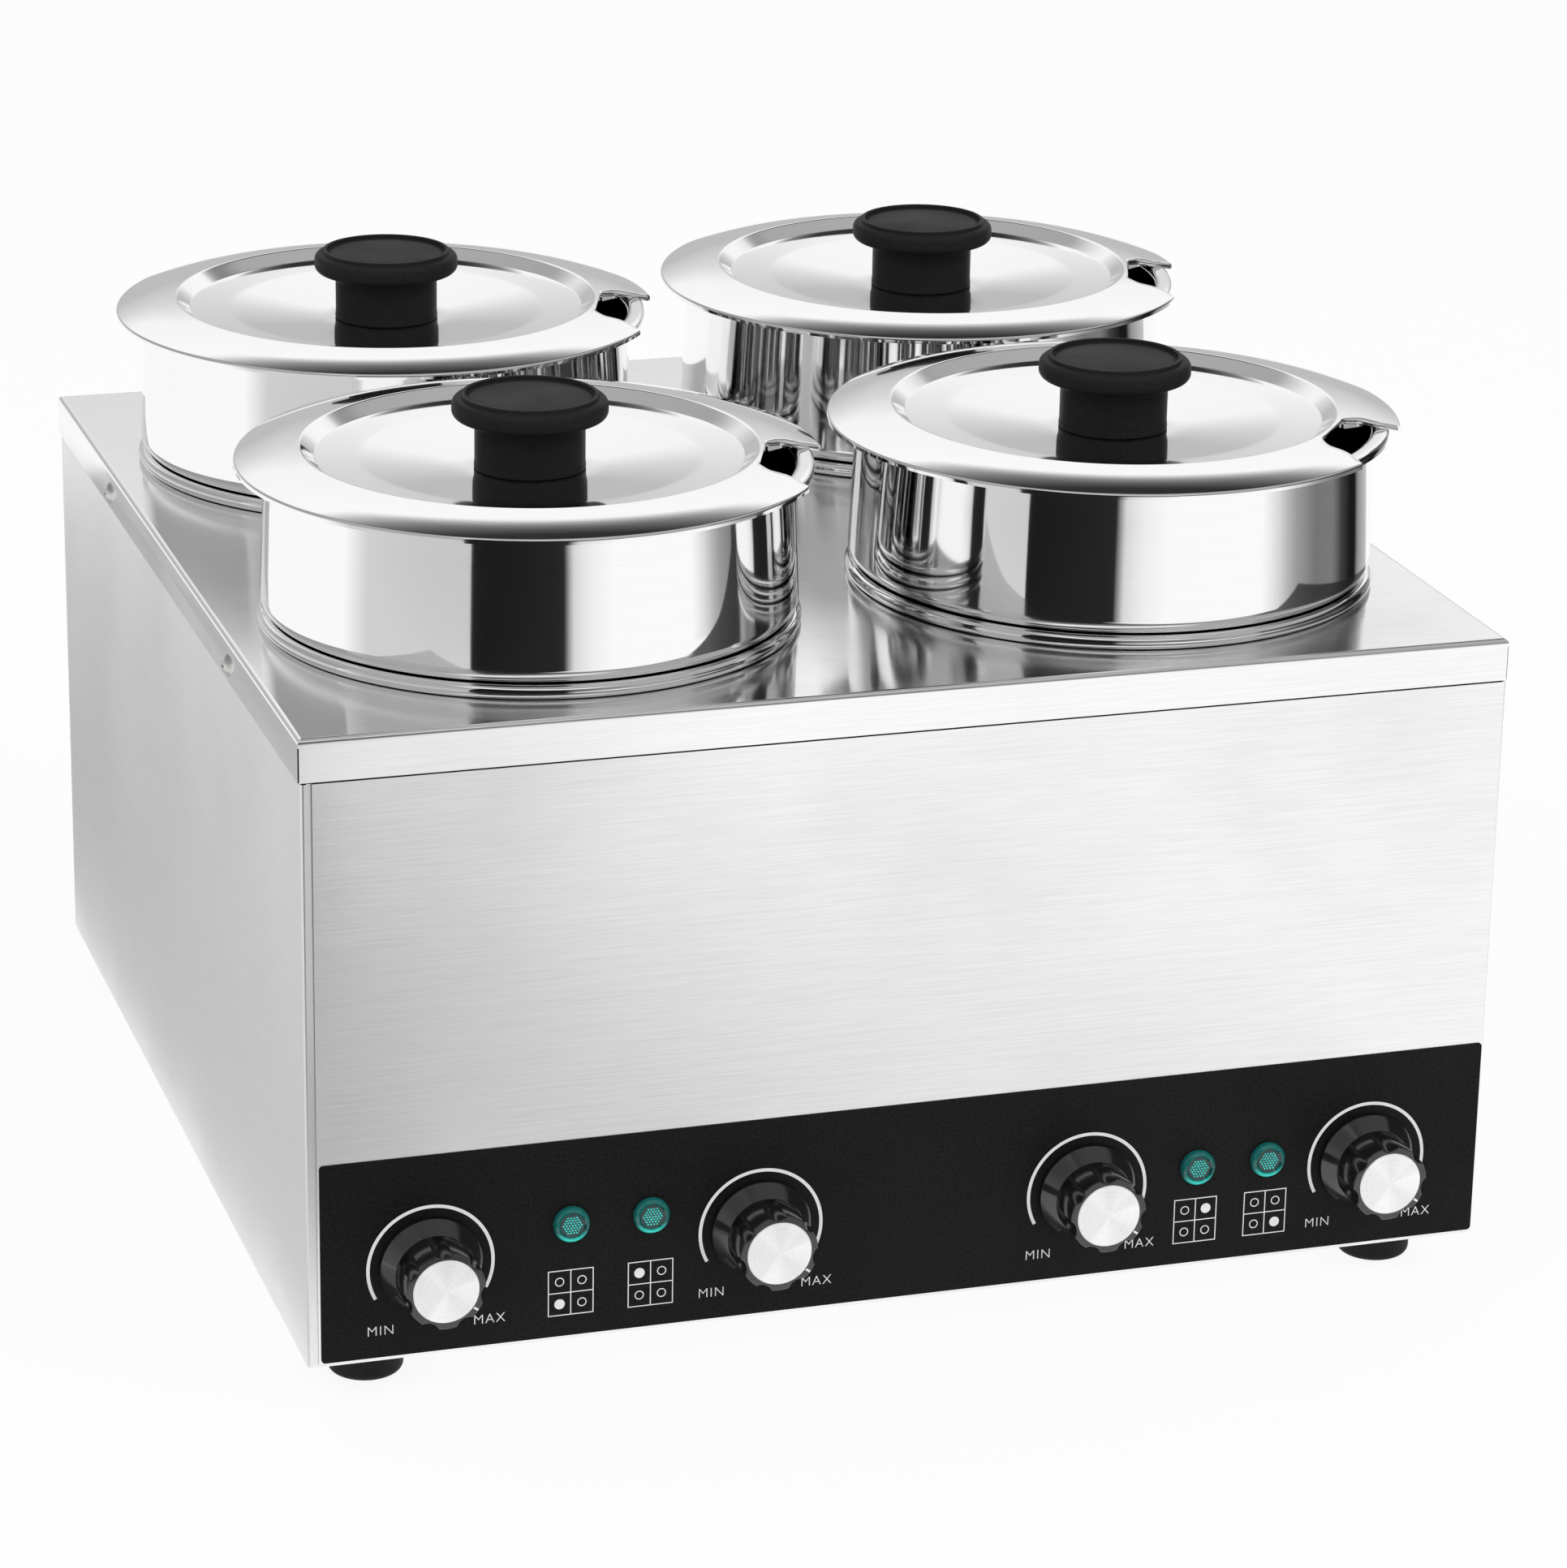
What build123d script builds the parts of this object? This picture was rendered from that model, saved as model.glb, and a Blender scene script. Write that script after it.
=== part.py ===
"""Four-pot table bain marie: sheet housing, four heated wells, lift-out pots with notched lids.

Millimetres, +Z up. The front faces -Y. The origin is on the table, under the middle of the housing.
"""

import math
import os

from build123d import *

os.makedirs("parts", exist_ok=True)

# Housing
housing_width = 450.0
housing_depth = 455.0
housing_height = 236.0
sheet = 0.7
sheet_gap = 0.2
run_gap = 0.3
base_thickness = 1.0
base_margin = 1.2
flange_width = 12.0
flange_corner_relief = 18.0

# Deck
skirt_height = 15.7
deck_fold_radius = 2.0
corner_slit_width = 0.6
corner_slit_length = 4.0
corner_slit_land = 3.0
skirt_joint_gap = 0.6

# Corner folds of the side sheets
corner_strip = 2.0
corner_slot = 1.9
corner_fold_radius = 1.0
corner_tab = 15.0
front_fold_radius = 1.2
front_return = 14.0

# Feet
foot_height = 15.0
foot_top_radius = 14.4
foot_bottom_radius = 13.6
foot_edge_radius = 3.0
foot_inset = 28.0
foot_recess_radius = 5.6
foot_recess_depth = 6.5

# Screws
screw_radius = 2.0
screw_head_radius = 4.4
screw_head_height = 2.2
screw_length = 9.0
screw_hole_gap = 0.15
screw_drive_radius = 1.5
screw_drive_width = 0.7
screw_drive_depth = 0.9
skirt_screw_spacing = 226.0
skirt_screw_drop = 9.4
base_screw_inset = 25.0
base_screw_edge = 7.0
foot_screw_length = 13.0

# Wells
pot_spacing_x = 225.0
pot_spacing_y = 222.5
well_radius = 94.0
well_depth = 110.0
well_corner_radius = 14.0
bead_radius = 2.6
deck_hole_gap = 0.4

# Pots
pot_radius = 93.2
pot_depth = 105.0
pot_sheet = 0.8
pot_corner_radius = 14.0
pot_shoulder_angle = 42.0
pot_shoulder_root = 1.2
pot_shoulder_radius = 6.0
collar_bottom_radius = 98.3
collar_top_radius = 95.8
rim_height = 60.9
rim_radius = 103.0
rim_root_radius = 2.4
rim_curl = 2.2
rim_curl_radius = 1.2

# Lids
lid_sheet = 0.8
lid_radius = 107.0
lid_edge_depth = 1.9
lid_edge_radius = 1.2
lid_rim_angle = 16.5
lid_rim_break_radius = 97.0
lid_rim_break_fillet = 85.0
lid_crown_radius = 83.0
lid_crown_rise = 1.6
lid_crown_fillet = 1.6
lid_plate_radius = 77.8
lid_plate_drop = 4.1
lid_plate_fillet = 0.8
lid_ring_radius = 62.0
lid_ring_drop = 0.65
lid_ring_fillet = 40.0
lid_seat_radius = 24.0
lid_dish = 4.8
lid_dish_fillet = 60.0
notch_angles = (-22.0, -20.0, -20.0, -38.0)
notch_inner_radius = 84.6
notch_inner_half = 14.0
notch_throat_radius = 89.5
notch_throat_half = 20.0
notch_neck_radius = 97.0
notch_neck_half = 21.0
notch_mouth_half = 34.0
notch_overrun = 6.0
notch_inner_fillet = 4.0
notch_neck_fillet = 14.0

# Lid handles
handle_height = 27.4
handle_neck_radius = 20.1
handle_foot_radius = 20.4
handle_foot_height = 3.0
handle_cap_radius = 28.4
handle_cap_thickness = 7.6
handle_cap_fillet = 2.9
handle_neck_fillet = 4.0
handle_foot_fillet = 0.8
handle_lip_radius = 25.0
handle_lip_height = 1.3
handle_lip_fillet = 0.5
handle_lip_root = 0.3
handle_groove_radius = 23.4
handle_disc_radius = 22.4
handle_groove_depth = 1.5
handle_disc_rise = 0.8
handle_screw_radius = 2.5
handle_screw_gap = 0.1
handle_screw_grip = 16.0
handle_screw_head_radius = 4.8
handle_screw_head_height = 2.8

# Control strip and its controls
strip_thickness = 0.35
strip_height = 76.0
strip_bottom_margin = 0.9
strip_side_margin = 0.8
strip_corner_radius = 1.5
knob_places = (-179.5, -57.0, 68.5, 179.5)
knob_drop = 200.6
lamp_places = (-128.0, -98.3, 111.8, 139.6)
lamp_drops = (190.3, 190.3, 195.6, 195.6)

# Knobs
knob_skirt_radius = 18.7
knob_skirt_edge = 1.3
knob_skirt_rise = 7.0
knob_skirt_ledge = 0.2
knob_height = 23.0
knob_stand_off = 0.6
knob_grip_radius = 14.5
knob_grip_fillet = 0.5
knob_lobes = 7
knob_flute_radius = 4.5
knob_flute_depth = 1.65
knob_pointer_angle = -36.0
knob_bush_room = 8.0
knob_bore_end = 4.0
knob_cap_radius = 12.0
knob_cap_thickness = 0.9
knob_cap_recess = 0.6
knob_cap_gap = 0.1

# Thermostats and their spindles
thermostat_width = 38.0
thermostat_height = 32.0
thermostat_length = 35.0
bush_radius = 4.6
bush_length = 6.5
bush_hole_gap = 0.3
spindle_radius = 3.0
spindle_flat = 0.8
spindle_gap = 0.3
spindle_fit = 0.06
spindle_depth = 14.0
blade_width = 6.3
blade_thickness = 0.8
blade_length = 8.0
blade_offset = 8.0
blade_rise = 6.0

# Indicator lamps
lamp_radius = 6.7
lamp_edge = 0.9
lamp_height = 3.0
lamp_ring_radius = 5.3
lamp_face_radius = 4.4
lamp_face_drop = 0.9
lamp_stem_radius = 3.6
lamp_stem_length = 8.0
lamp_tube_radius = 4.9
lamp_tube_gap = 0.15
lamp_body_radius = 6.5
lamp_body_length = 22.0

# Heaters under the wells
element_ring_radius = 60.0
element_tube_radius = 3.3
element_gap_angle = 40.0
element_leg = 20.0
clamp_length = 140.0
clamp_width = 18.0
clamp_thickness = 1.5
clamp_bolt_radius = 3.0
clamp_nut_radius = 5.5
clamp_nut_height = 5.0
bulb_radius = 3.2
bulb_length = 60.0
bulb_offset = 14.0
capillary_radius = 0.8
capillary_bend = 6.0
capillary_level = 32.0
capillary_drop_back = 64.0
rear_capillary_back = 71.0

# Supply side
terminal_width = 54.0
terminal_depth = 20.0
terminal_height = 17.0
terminal_inset = 95.0
terminal_place_y = 175.0
terminal_ways = 5
terminal_pitch = 10.0
terminal_screw_radius = 2.6
terminal_screw_depth = 6.0
gland_inset = 75.0
gland_level = 26.0
gland_thread_radius = 10.0
gland_inside = 12.0
gland_hex_radius = 13.5
gland_hex_length = 7.0
gland_dome_radius = 11.0
gland_dome_length = 16.0
gland_dome_fillet = 4.0
gland_bore_radius = 4.5
gland_nut_radius = 14.0
gland_nut_length = 4.5
wire_radius = 1.25
wire_bend = 4.0
wire_floor_gap = 8.0
wire_level_drop = 22.0
wire_tail = 6.0
wire_turn_first = 112.0
wire_turn_step = 14.0
return_drop = 15.0
return_side = 1.6
return_turn = 100.0
return_rise = 4.5

# Levels and faces that the pieces share
base_top = foot_height + base_thickness
deck_top = foot_height + housing_height
panel_bottom = base_top
skirt_bottom = deck_top - skirt_height
front_face = -housing_depth / 2
rear_face = housing_depth / 2
left_face = -housing_width / 2
right_face = housing_width / 2
base_screw_spacing = housing_width - 2 * base_screw_inset
terminal_place_x = right_face - terminal_inset
gland_place_x = right_face - gland_inset
panel_inset = sheet + sheet_gap
panel_top = deck_top - sheet - deck_fold_radius
front_panel_top = skirt_bottom - skirt_joint_gap
front_panel_left = left_face + panel_inset + corner_strip + corner_slot
front_inner = front_face + sheet
strip_bottom = panel_bottom + strip_bottom_margin
knob_level = deck_top - knob_drop
lamp_centres = [(x, deck_top - drop) for x, drop in zip(lamp_places, lamp_drops)]
rim_top = deck_top + rim_height
bead_ring = well_radius + bead_radius
well_base = deck_top - well_depth - sheet
pot_base = deck_top - pot_depth
element_level = well_base - sheet_gap - element_tube_radius
clamp_top = element_level - element_tube_radius - sheet_gap
thermostat_top = knob_level + thermostat_height / 2
thermostat_rear = front_inner + thermostat_length
blade_end = thermostat_rear + blade_length

corner_names = ("front_left", "rear_left", "rear_right", "front_right")
corner_signs = ((-1, -1), (-1, 1), (1, 1), (1, -1))
pot_places = [(sx * pot_spacing_x / 2, sy * pot_spacing_y / 2) for sx, sy in corner_signs]
foot_places = [
    (sx * (housing_width / 2 - foot_inset), sy * (housing_depth / 2 - foot_inset)) for sx, sy in corner_signs
]


def turning_plane(x, y):
    """Upright plane through a vertical axis at (x, y): local x is the radius, local y the height."""
    return Plane(origin=(x, y, 0), x_dir=(1, 0, 0), z_dir=(0, -1, 0))


def upright_axis(x, y):
    """Vertical axis at (x, y)."""
    return Axis((x, y, 0), (0, 0, 1))


def front_plane(x, z, out=0.0):
    """Plane facing out of the front at (x, z), a distance out of the front face."""
    return Plane(origin=(x, front_face - out, z), x_dir=(1, 0, 0), z_dir=(0, -1, 0))


def front_turning_plane(x, z):
    """Level plane through a control's axis: local x is the radius, local y the way out of the front."""
    return Plane(origin=(x, front_face, z), x_dir=(1, 0, 0), z_dir=(0, 0, -1))


def front_axis(x, z):
    """Axis of a control, pointing out of the front."""
    return Axis((x, front_face, z), (0, -1, 0))


def save(piece, name):
    """Label a finished piece and write it under its name."""
    piece.label = name
    export_step(piece, f"parts/{name}.step")


def group(solids, name):
    """Write several like solids as one named group."""
    save(Compound(children=solids), name)


# Deck: one sheet with its edges folded down, a round opening over each well and slits at the corners
with BuildPart() as deck_core:
    with BuildSketch(Plane.XY.offset(deck_top - sheet)):
        Rectangle(housing_width - 2 * sheet, housing_depth - 2 * sheet)
    extrude(amount=-skirt_height)
    fillet(deck_core.faces().sort_by(Axis.Z)[-1].edges(), deck_fold_radius - sheet)

with BuildPart() as top_deck:
    with BuildSketch(Plane.XY.offset(deck_top)):
        Rectangle(housing_width, housing_depth)
    extrude(amount=-skirt_height)
    fillet(top_deck.faces().sort_by(Axis.Z)[-1].edges(), deck_fold_radius)
    add(deck_core.part, mode=Mode.SUBTRACT)
    with BuildSketch(Plane.XY.offset(deck_top)):
        with Locations(*pot_places):
            Circle(well_radius + sheet + deck_hole_gap)
    extrude(amount=-2 * sheet, mode=Mode.SUBTRACT)
    with BuildSketch(Plane.XY.offset(skirt_bottom)):
        for sx, sy in corner_signs:
            with Locations(Location((sx * right_face, sy * rear_face, 0), (0, 0, sx * sy * 45))):
                Rectangle(corner_slit_length, corner_slit_width)
    extrude(amount=skirt_height - corner_slit_land, mode=Mode.SUBTRACT)
    with BuildSketch(Plane.YZ):
        with Locations((0, deck_top - skirt_screw_drop)):
            with GridLocations(skirt_screw_spacing, 0, 2, 1):
                Circle(screw_radius + screw_hole_gap)
    extrude(amount=housing_width, both=True, mode=Mode.SUBTRACT)
save(top_deck.part, "top_deck")

# Front sheet: returns round the right corner, flanged along its top and bottom
with BuildPart() as front_panel:
    with BuildSketch(Plane.XY.offset(panel_bottom)):
        with BuildLine():
            FilletPolyline(
                (front_panel_left, front_face),
                (right_face, front_face),
                (right_face, front_face + front_return),
                radius=front_fold_radius,
            )
            offset(amount=sheet, side=Side.LEFT)
        make_face()
    extrude(amount=front_panel_top - panel_bottom)
    flange_length = housing_width - 2 * flange_corner_relief
    for level in (panel_bottom, front_panel_top - sheet):
        with BuildSketch(Plane.XY.offset(level)):
            with Locations((0, front_face + flange_width / 2)):
                Rectangle(flange_length, flange_width)
        extrude(amount=sheet)
    with BuildSketch(front_plane(0, knob_level)):
        with Locations(*[(x, 0) for x in knob_places]):
            Circle(bush_radius + bush_hole_gap)
    extrude(amount=-sheet, mode=Mode.SUBTRACT)
    with BuildSketch(front_plane(0, 0)):
        with Locations(*lamp_centres):
            Circle(lamp_tube_radius + lamp_tube_gap)
    extrude(amount=-sheet, mode=Mode.SUBTRACT)
    with BuildSketch(Plane.XY.offset(panel_bottom)):
        with Locations((0, front_face + base_screw_edge)):
            with GridLocations(base_screw_spacing, 0, 2, 1):
                Circle(screw_radius + screw_hole_gap)
    extrude(amount=sheet, mode=Mode.SUBTRACT)
save(front_panel.part, "front_panel")

# Left sheet: folded round the front corner and joggled behind the front sheet, tabbed at the rear
left_outer = left_face + panel_inset
rear_outer = rear_face - panel_inset
rear_tab_face = rear_outer - sheet - sheet_gap
front_tab_face = front_inner + sheet_gap
with BuildPart() as left_panel:
    with BuildSketch(Plane.XY.offset(panel_bottom)):
        with BuildLine():
            FilletPolyline(
                (left_outer + corner_tab, rear_tab_face),
                (left_outer, rear_tab_face),
                (left_outer, front_face),
                (left_outer + corner_strip, front_face),
                radius=corner_fold_radius,
            )
            offset(amount=sheet, side=Side.LEFT)
        make_face()
    extrude(amount=panel_top - panel_bottom)
    with BuildSketch(Plane.XY.offset(panel_bottom)):
        tab_corner = (left_outer + corner_strip - sheet, front_face)
        with Locations(tab_corner):
            Rectangle(sheet, 2 * sheet + sheet_gap, align=(Align.MIN, Align.MIN))
        with Locations((tab_corner[0], front_tab_face)):
            Rectangle(corner_tab, sheet, align=(Align.MIN, Align.MIN))
    extrude(amount=panel_top - panel_bottom)
    with BuildSketch(Plane.XY.offset(panel_bottom)):
        with Locations((left_outer + flange_width / 2, 0)):
            Rectangle(flange_width, housing_depth - 2 * flange_corner_relief)
    extrude(amount=sheet)
    with BuildSketch(Plane.XY.offset(front_panel_top)):
        with Locations((left_face, front_face)):
            Rectangle(2 * corner_tab, 2 * panel_inset + corner_strip, align=(Align.MIN, Align.MIN))
    extrude(amount=skirt_height, mode=Mode.SUBTRACT)
    with BuildSketch(Plane.YZ.offset(left_face)):
        with Locations((0, deck_top - skirt_screw_drop)):
            with GridLocations(skirt_screw_spacing, 0, 2, 1):
                Circle(screw_radius + screw_hole_gap)
    extrude(amount=2 * panel_inset, mode=Mode.SUBTRACT)
    with BuildSketch(Plane.XY.offset(panel_bottom)):
        with Locations((left_face + base_screw_edge, 0)):
            with GridLocations(0, skirt_screw_spacing, 1, 2):
                Circle(screw_radius + screw_hole_gap)
    extrude(amount=sheet, mode=Mode.SUBTRACT)
save(left_panel.part, "left_panel")

# Right sheet: inside the front sheet's return, tabbed at the rear
right_outer = right_face - panel_inset
with BuildPart() as right_panel:
    with BuildSketch(Plane.XY.offset(panel_bottom)):
        with BuildLine():
            FilletPolyline(
                (right_outer, front_tab_face),
                (right_outer, rear_tab_face),
                (right_outer - corner_tab, rear_tab_face),
                radius=corner_fold_radius,
            )
            offset(amount=sheet, side=Side.LEFT)
        make_face()
    extrude(amount=panel_top - panel_bottom)
    with BuildSketch(Plane.XY.offset(panel_bottom)):
        with Locations((right_outer - flange_width / 2, 0)):
            Rectangle(flange_width, housing_depth - 2 * flange_corner_relief)
    extrude(amount=sheet)
    with BuildSketch(Plane.YZ.offset(right_outer)):
        with Locations((0, deck_top - skirt_screw_drop)):
            with GridLocations(skirt_screw_spacing, 0, 2, 1):
                Circle(screw_radius + screw_hole_gap)
    extrude(amount=-2 * sheet, mode=Mode.SUBTRACT)
    with BuildSketch(Plane.XY.offset(panel_bottom)):
        with Locations((right_face - base_screw_edge, 0)):
            with GridLocations(0, skirt_screw_spacing, 1, 2):
                Circle(screw_radius + screw_hole_gap)
    extrude(amount=sheet, mode=Mode.SUBTRACT)
save(right_panel.part, "right_panel")

# Rear sheet: flat, outside the tabs of the side sheets, with the gland's hole
gland_axis_level = base_top + gland_level
with BuildPart() as rear_panel:
    with BuildSketch(Plane.XY.offset(panel_bottom)):
        with Locations((0, rear_outer - sheet / 2)):
            Rectangle(2 * right_outer, sheet)
    extrude(amount=panel_top - panel_bottom)
    with BuildSketch(Plane.XY.offset(panel_bottom)):
        with Locations((0, rear_outer - flange_width / 2)):
            Rectangle(housing_width - 2 * flange_corner_relief, flange_width)
    extrude(amount=sheet)
    with BuildSketch(Plane.XZ.offset(-rear_outer)):
        with Locations((gland_place_x, gland_axis_level)):
            Circle(gland_thread_radius + sheet_gap)
    extrude(amount=2 * sheet, mode=Mode.SUBTRACT)
    with BuildSketch(Plane.XY.offset(panel_bottom)):
        with Locations((0, rear_face - base_screw_edge)):
            with GridLocations(base_screw_spacing, 0, 2, 1):
                Circle(screw_radius + screw_hole_gap)
    extrude(amount=sheet, mode=Mode.SUBTRACT)
save(rear_panel.part, "rear_panel")

# Base plate: closes the housing from below and carries the feet
base_screw_places = [
    (sx * base_screw_spacing / 2, sy * (housing_depth / 2 - base_screw_edge)) for sx, sy in corner_signs
] + [(sx * (housing_width / 2 - base_screw_edge), sy * skirt_screw_spacing / 2) for sx, sy in corner_signs]
with BuildPart() as base_plate:
    with BuildSketch(Plane.XY.offset(foot_height)):
        Rectangle(housing_width - 2 * base_margin, housing_depth - 2 * base_margin)
        with Locations(*base_screw_places, *foot_places):
            Circle(screw_radius + screw_hole_gap, mode=Mode.SUBTRACT)
    extrude(amount=base_thickness)
save(base_plate.part, "base_plate")

# Feet: rubber, rounded at the floor, each with a recess for its screw
for name, (x, y) in zip(corner_names, foot_places):
    with BuildPart() as foot:
        with BuildSketch(turning_plane(x, y)):
            with BuildLine():
                FilletPolyline(
                    (screw_radius + screw_hole_gap, 0),
                    (foot_bottom_radius, 0),
                    (foot_top_radius, foot_height),
                    radius=foot_edge_radius,
                )
                Polyline(
                    (foot_top_radius, foot_height),
                    (screw_radius + screw_hole_gap, foot_height),
                    (screw_radius + screw_hole_gap, 0),
                )
            make_face()
        revolve(axis=upright_axis(x, y))
        with BuildSketch(Plane.XY):
            with Locations((x, y)):
                Circle(foot_recess_radius)
        extrude(amount=foot_recess_depth, mode=Mode.SUBTRACT)
    save(foot.part, f"foot_{name}")


def pan_screw(length):
    """Pan-head screw with a cross recess: its head stands on the level plane, its shank hangs below."""
    with BuildPart() as screw:
        with BuildSketch(Plane.XZ):
            with BuildLine():
                Polyline((0, screw_head_height), (0, 0), (screw_head_radius, 0))
                TangentArc((0, screw_head_height), (screw_head_radius, 0), tangent=(1, 0))
            make_face()
        revolve(axis=Axis.Z)
        with BuildSketch(Plane.XY):
            Circle(screw_radius)
        extrude(amount=-length)
        with BuildSketch(Plane.XY.offset(screw_head_height)):
            Rectangle(2 * screw_drive_radius, screw_drive_width)
            Rectangle(screw_drive_width, 2 * screw_drive_radius)
        extrude(amount=-screw_drive_depth, mode=Mode.SUBTRACT)
    return screw.part


def seated(piece, place, out):
    """Copy of a piece, its level plane moved to a place with its top pointing out."""
    return piece.moved(Plane(origin=place, z_dir=out).location)


# Deck screws: through the side skirts into the side sheets
skirt_screw = pan_screw(screw_length)
group(
    [
        seated(
            skirt_screw,
            (sx * right_face, sy * skirt_screw_spacing / 2, deck_top - skirt_screw_drop),
            (sx, 0, 0),
        )
        for sx, sy in corner_signs
    ],
    "deck_screws",
)

# Base screws: up through the base plate into the flanges, and up through each foot
base_screw = pan_screw(screw_length)
foot_screw = pan_screw(foot_screw_length)
group(
    [seated(base_screw, (x, y, foot_height), (0, 0, -1)) for x, y in base_screw_places]
    + [seated(foot_screw, (x, y, foot_recess_depth), (0, 0, -1)) for x, y in foot_places],
    "base_screws",
)

# Wells: round tanks hung in the deck by a rolled bead
for name, (x, y) in zip(corner_names, pot_places):
    with BuildPart() as well:
        with BuildSketch(turning_plane(x, y)):
            with BuildLine():
                FilletPolyline(
                    (0, well_base),
                    (well_radius + sheet, well_base),
                    (well_radius + sheet, deck_top + bead_radius),
                    radius=well_corner_radius,
                )
                offset(amount=sheet, side=Side.LEFT)
            make_face()
            with Locations((bead_ring, deck_top + bead_radius)):
                Circle(bead_radius)
        revolve(axis=upright_axis(x, y))
    save(well.part, f"well_{name}")

# Pots: the collar's shoulder rests on the well's bead, the rim is rolled outwards under the lid
shoulder_slope = math.radians(pot_shoulder_angle)
shoulder_root = (
    deck_top
    + bead_radius
    + (bead_radius + run_gap) / math.cos(shoulder_slope)
    - (bead_ring - pot_radius) * math.tan(shoulder_slope)
)
shoulder_top = shoulder_root + (collar_bottom_radius - pot_radius) * math.tan(shoulder_slope)
rim_underside = rim_top - pot_sheet
for name, (x, y) in zip(corner_names, pot_places):
    with BuildPart() as pot:
        with BuildSketch(turning_plane(x, y)):
            with BuildLine():
                FilletPolyline(
                    (0, pot_base),
                    (pot_radius, pot_base),
                    (pot_radius, shoulder_root),
                    (collar_bottom_radius, shoulder_top),
                    (collar_top_radius, rim_underside),
                    (rim_radius - pot_sheet, rim_underside),
                    (rim_radius - pot_sheet, rim_underside - rim_curl),
                    radius=[
                        pot_corner_radius,
                        pot_shoulder_root,
                        pot_shoulder_radius,
                        rim_root_radius,
                        rim_curl_radius,
                    ],
                )
                offset(amount=pot_sheet, side=Side.LEFT)
            make_face()
        revolve(axis=upright_axis(x, y))
    save(pot.part, f"pot_{name}")

# Lids: a sloping rim over the pot's rim, a step down to a dished plate, a flared notch for a ladle
rim_slope = math.tan(math.radians(lid_rim_angle))
lid_edge_top = (
    rim_top
    + run_gap
    + lid_sheet / math.cos(math.radians(lid_rim_angle))
    - (lid_radius - rim_radius) * rim_slope
)
lid_break_top = lid_edge_top + (lid_radius - lid_rim_break_radius) * rim_slope
lid_crown_top = lid_break_top + lid_crown_rise
lid_plate_top = lid_crown_top - lid_plate_drop
lid_seat_top = lid_plate_top - lid_dish
lip_bottom = rim_top + run_gap
rim_outline = [
    (lid_crown_radius, lid_crown_top),
    (lid_rim_break_radius, lid_break_top),
    (lid_radius, lid_edge_top),
    (lid_radius, lid_edge_top - lid_edge_depth),
]
rim_fillets = [lid_crown_fillet, lid_rim_break_fillet, lid_edge_radius]


def notch_outline():
    """Plan of the ladle notch: a rounded throat that flares towards the lid's edge."""
    mouth_radius = lid_radius + notch_overrun
    half = [
        (notch_inner_radius, notch_inner_half),
        (notch_throat_radius, notch_throat_half),
        (notch_neck_radius, notch_neck_half),
        (mouth_radius, notch_mouth_half),
    ]
    FilletPolyline(
        *reversed(half),
        *[(radius, -width) for radius, width in half],
        radius=[notch_neck_fillet] + [notch_inner_fillet] * 4 + [notch_neck_fillet],
    )
    Line((mouth_radius, -notch_mouth_half), (mouth_radius, notch_mouth_half))


for name, (x, y), notch_angle in zip(corner_names, pot_places, notch_angles):
    notch_plane = Plane(origin=(x, y, lip_bottom)).rotated((0, 0, notch_angle))
    with BuildPart() as notch_lip:
        with BuildSketch(turning_plane(x, y)):
            with BuildLine():
                FilletPolyline(
                    (lid_plate_radius, lid_plate_top),
                    *rim_outline[:3],
                    radius=rim_fillets[:2],
                )
                Polyline(
                    rim_outline[2],
                    (lid_radius, lid_seat_top),
                    (lid_plate_radius, lid_seat_top),
                    (lid_plate_radius, lid_plate_top),
                )
            make_face()
        revolve(axis=upright_axis(x, y))
        with BuildSketch(notch_plane):
            with BuildLine():
                notch_outline()
            make_face()
            offset(amount=lid_sheet)
        extrude(amount=2 * lid_plate_drop, mode=Mode.INTERSECT)
    with BuildPart() as lid:
        with BuildSketch(turning_plane(x, y)):
            with BuildLine():
                FilletPolyline(
                    (handle_screw_radius + handle_screw_gap, lid_seat_top),
                    (lid_seat_radius, lid_seat_top),
                    (lid_ring_radius, lid_plate_top - lid_ring_drop),
                    (lid_plate_radius, lid_plate_top),
                    *rim_outline,
                    radius=[lid_dish_fillet, lid_ring_fillet, lid_plate_fillet] + rim_fillets,
                )
                offset(amount=lid_sheet, side=Side.RIGHT)
            make_face()
        revolve(axis=upright_axis(x, y))
        add(notch_lip.part)
        with BuildSketch(notch_plane):
            with BuildLine():
                notch_outline()
            make_face()
        extrude(amount=2 * lid_plate_drop, both=True, mode=Mode.SUBTRACT)
    save(lid.part, f"lid_{name}")

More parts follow.
